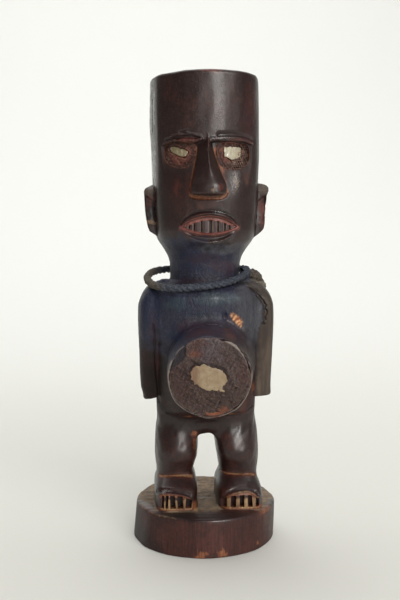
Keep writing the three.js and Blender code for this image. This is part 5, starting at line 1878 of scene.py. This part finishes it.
# %% Floor that curves up behind
def sweep():
    """A floor with a wall behind it, joined by a quarter of a cylinder. Its sizes are in metres."""
    radius, flat_end, front, top, wide = 0.95, 0.5, -2.2, 2.4, 2.4
    profile = [(front, 0), (-0.6, 0), (0, 0), (flat_end, 0)]
    for i in range(1, 17):
        angle = math.pi / 2 * i / 16
        profile.append((flat_end + radius * math.sin(angle), radius * (1 - math.cos(angle))))
    profile.append((flat_end + radius, top))
    columns = [-wide, -wide / 2, 0, wide / 2, wide]
    points = [(x * 1000, y * 1000, z * 1000 - 0.05) for y, z in profile for x in columns]
    across = len(columns)
    faces = [(r * across + c, r * across + c + 1, (r + 1) * across + c + 1, (r + 1) * across + c)
             for r in range(len(profile) - 1) for c in range(across - 1)]
    made = mesh_object("studio_sweep", points, faces)
    made.data.shade_smooth()
    return made


def paper_look():
    """White paper, painted darker in front as shade where less light reaches the floor."""
    paper = bpy.data.materials.new("pale_paper")
    paper.use_nodes = True
    tree = paper.node_tree
    shader = tree.nodes["Principled BSDF"]
    shader.inputs["Roughness"].default_value = 0.9
    shader.inputs["Specular IOR Level"].default_value = 0.1
    depth = add_node(tree, "ShaderNodeSeparateXYZ", _0=object_place(tree)).outputs[1]
    # Painted shade: the paper's colour darkens towards the front.
    fade = add_node(tree, "ShaderNodeMix", {"data_type": "RGBA"}, _0=smooth_share(tree, depth, -0.5, 1.1),
                    _6=tone(211, 209, 201), _7=tone(246, 247, 242))
    tree.links.new(fade.outputs[2], shader.inputs["Base Color"])
    return paper


floor = sweep()
floor.data.materials.append(paper_look())
GLOSS_COLOUR = (1, 0.975, 0.93)


def lamp(name, place, aim, size, power, gives):
    """An area lamp that gives "all" of its light, only "gloss", or only "fill" without gloss."""
    data = bpy.data.lights.new(name, "AREA")
    data.shape = "RECTANGLE"
    data.size, data.size_y = size
    data.energy = power
    if gives == "gloss":
        data.color = GLOSS_COLOUR
    made = bpy.data.objects.new(name, data)
    made.location = place
    made.rotation_euler = (Vector(aim) - Vector(place)).to_track_quat("-Z", "Y").to_euler()
    made.visible_diffuse = gives != "gloss"
    made.visible_glossy = gives != "fill"
    scene.collection.objects.link(made)
    return made


lamp("overhead_softbox", (-0.08, 0.4, 2.0), (0, 0.5, 0), (2.1, 1.6), 28.4, "all")
lamp("front_fill", (0.5, -1.6, 0.85), (0, 0, 0.17), (1.6, 1.1), 28, "fill")
lamp("right_softbox", (0.84, -1.08, 0.85), (0, 0, 0.17), (0.6, 0.42), 6.4, "gloss")
lamp("bright_strip", (0.49, -1.30, 0.62), (0, 0, 0.2), (0.12, 0.74), 11, "gloss")
world = bpy.data.worlds.new("studio_room")
world.use_nodes = True
room_light = world.node_tree.nodes["Background"].inputs
room_light[0].default_value = (1.0, 0.98, 0.96, 1)
room_light[1].default_value = 0.125
scene.world = world
scene.view_settings.view_transform = "Standard"

# %% [markdown]
# ## Who stands for what
# The carved solid and the plain solids of the soft parts stay in the construction model, and each
# finished piece takes the place of its own solid. Nothing here moves, so every piece rides on the one
# body. The neck cord is the only free cord, and its knot is its far end.

# %% Pieces and their places
def settle(piece, node):
    """Says which solid a piece stands for. All of them ride on the one body."""
    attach(piece, "root")
    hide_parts(node)


settle(carved_wood, "carved_figure")
settle(belly_charge, "belly_resin")
settle(belly_slip, "belly_inlay")
for side, prefix in enumerate(("right", "left")):
    settle(eye_pastes[side], f"{prefix}_eye_resin")
    settle(eye_slips[side], f"{prefix}_eye_inlay")
settle(neck_rope, "neck_cord")
settle(rope_knot, "cord_knot")
tuple(v * MM for v in CORD_ROUTE[0])
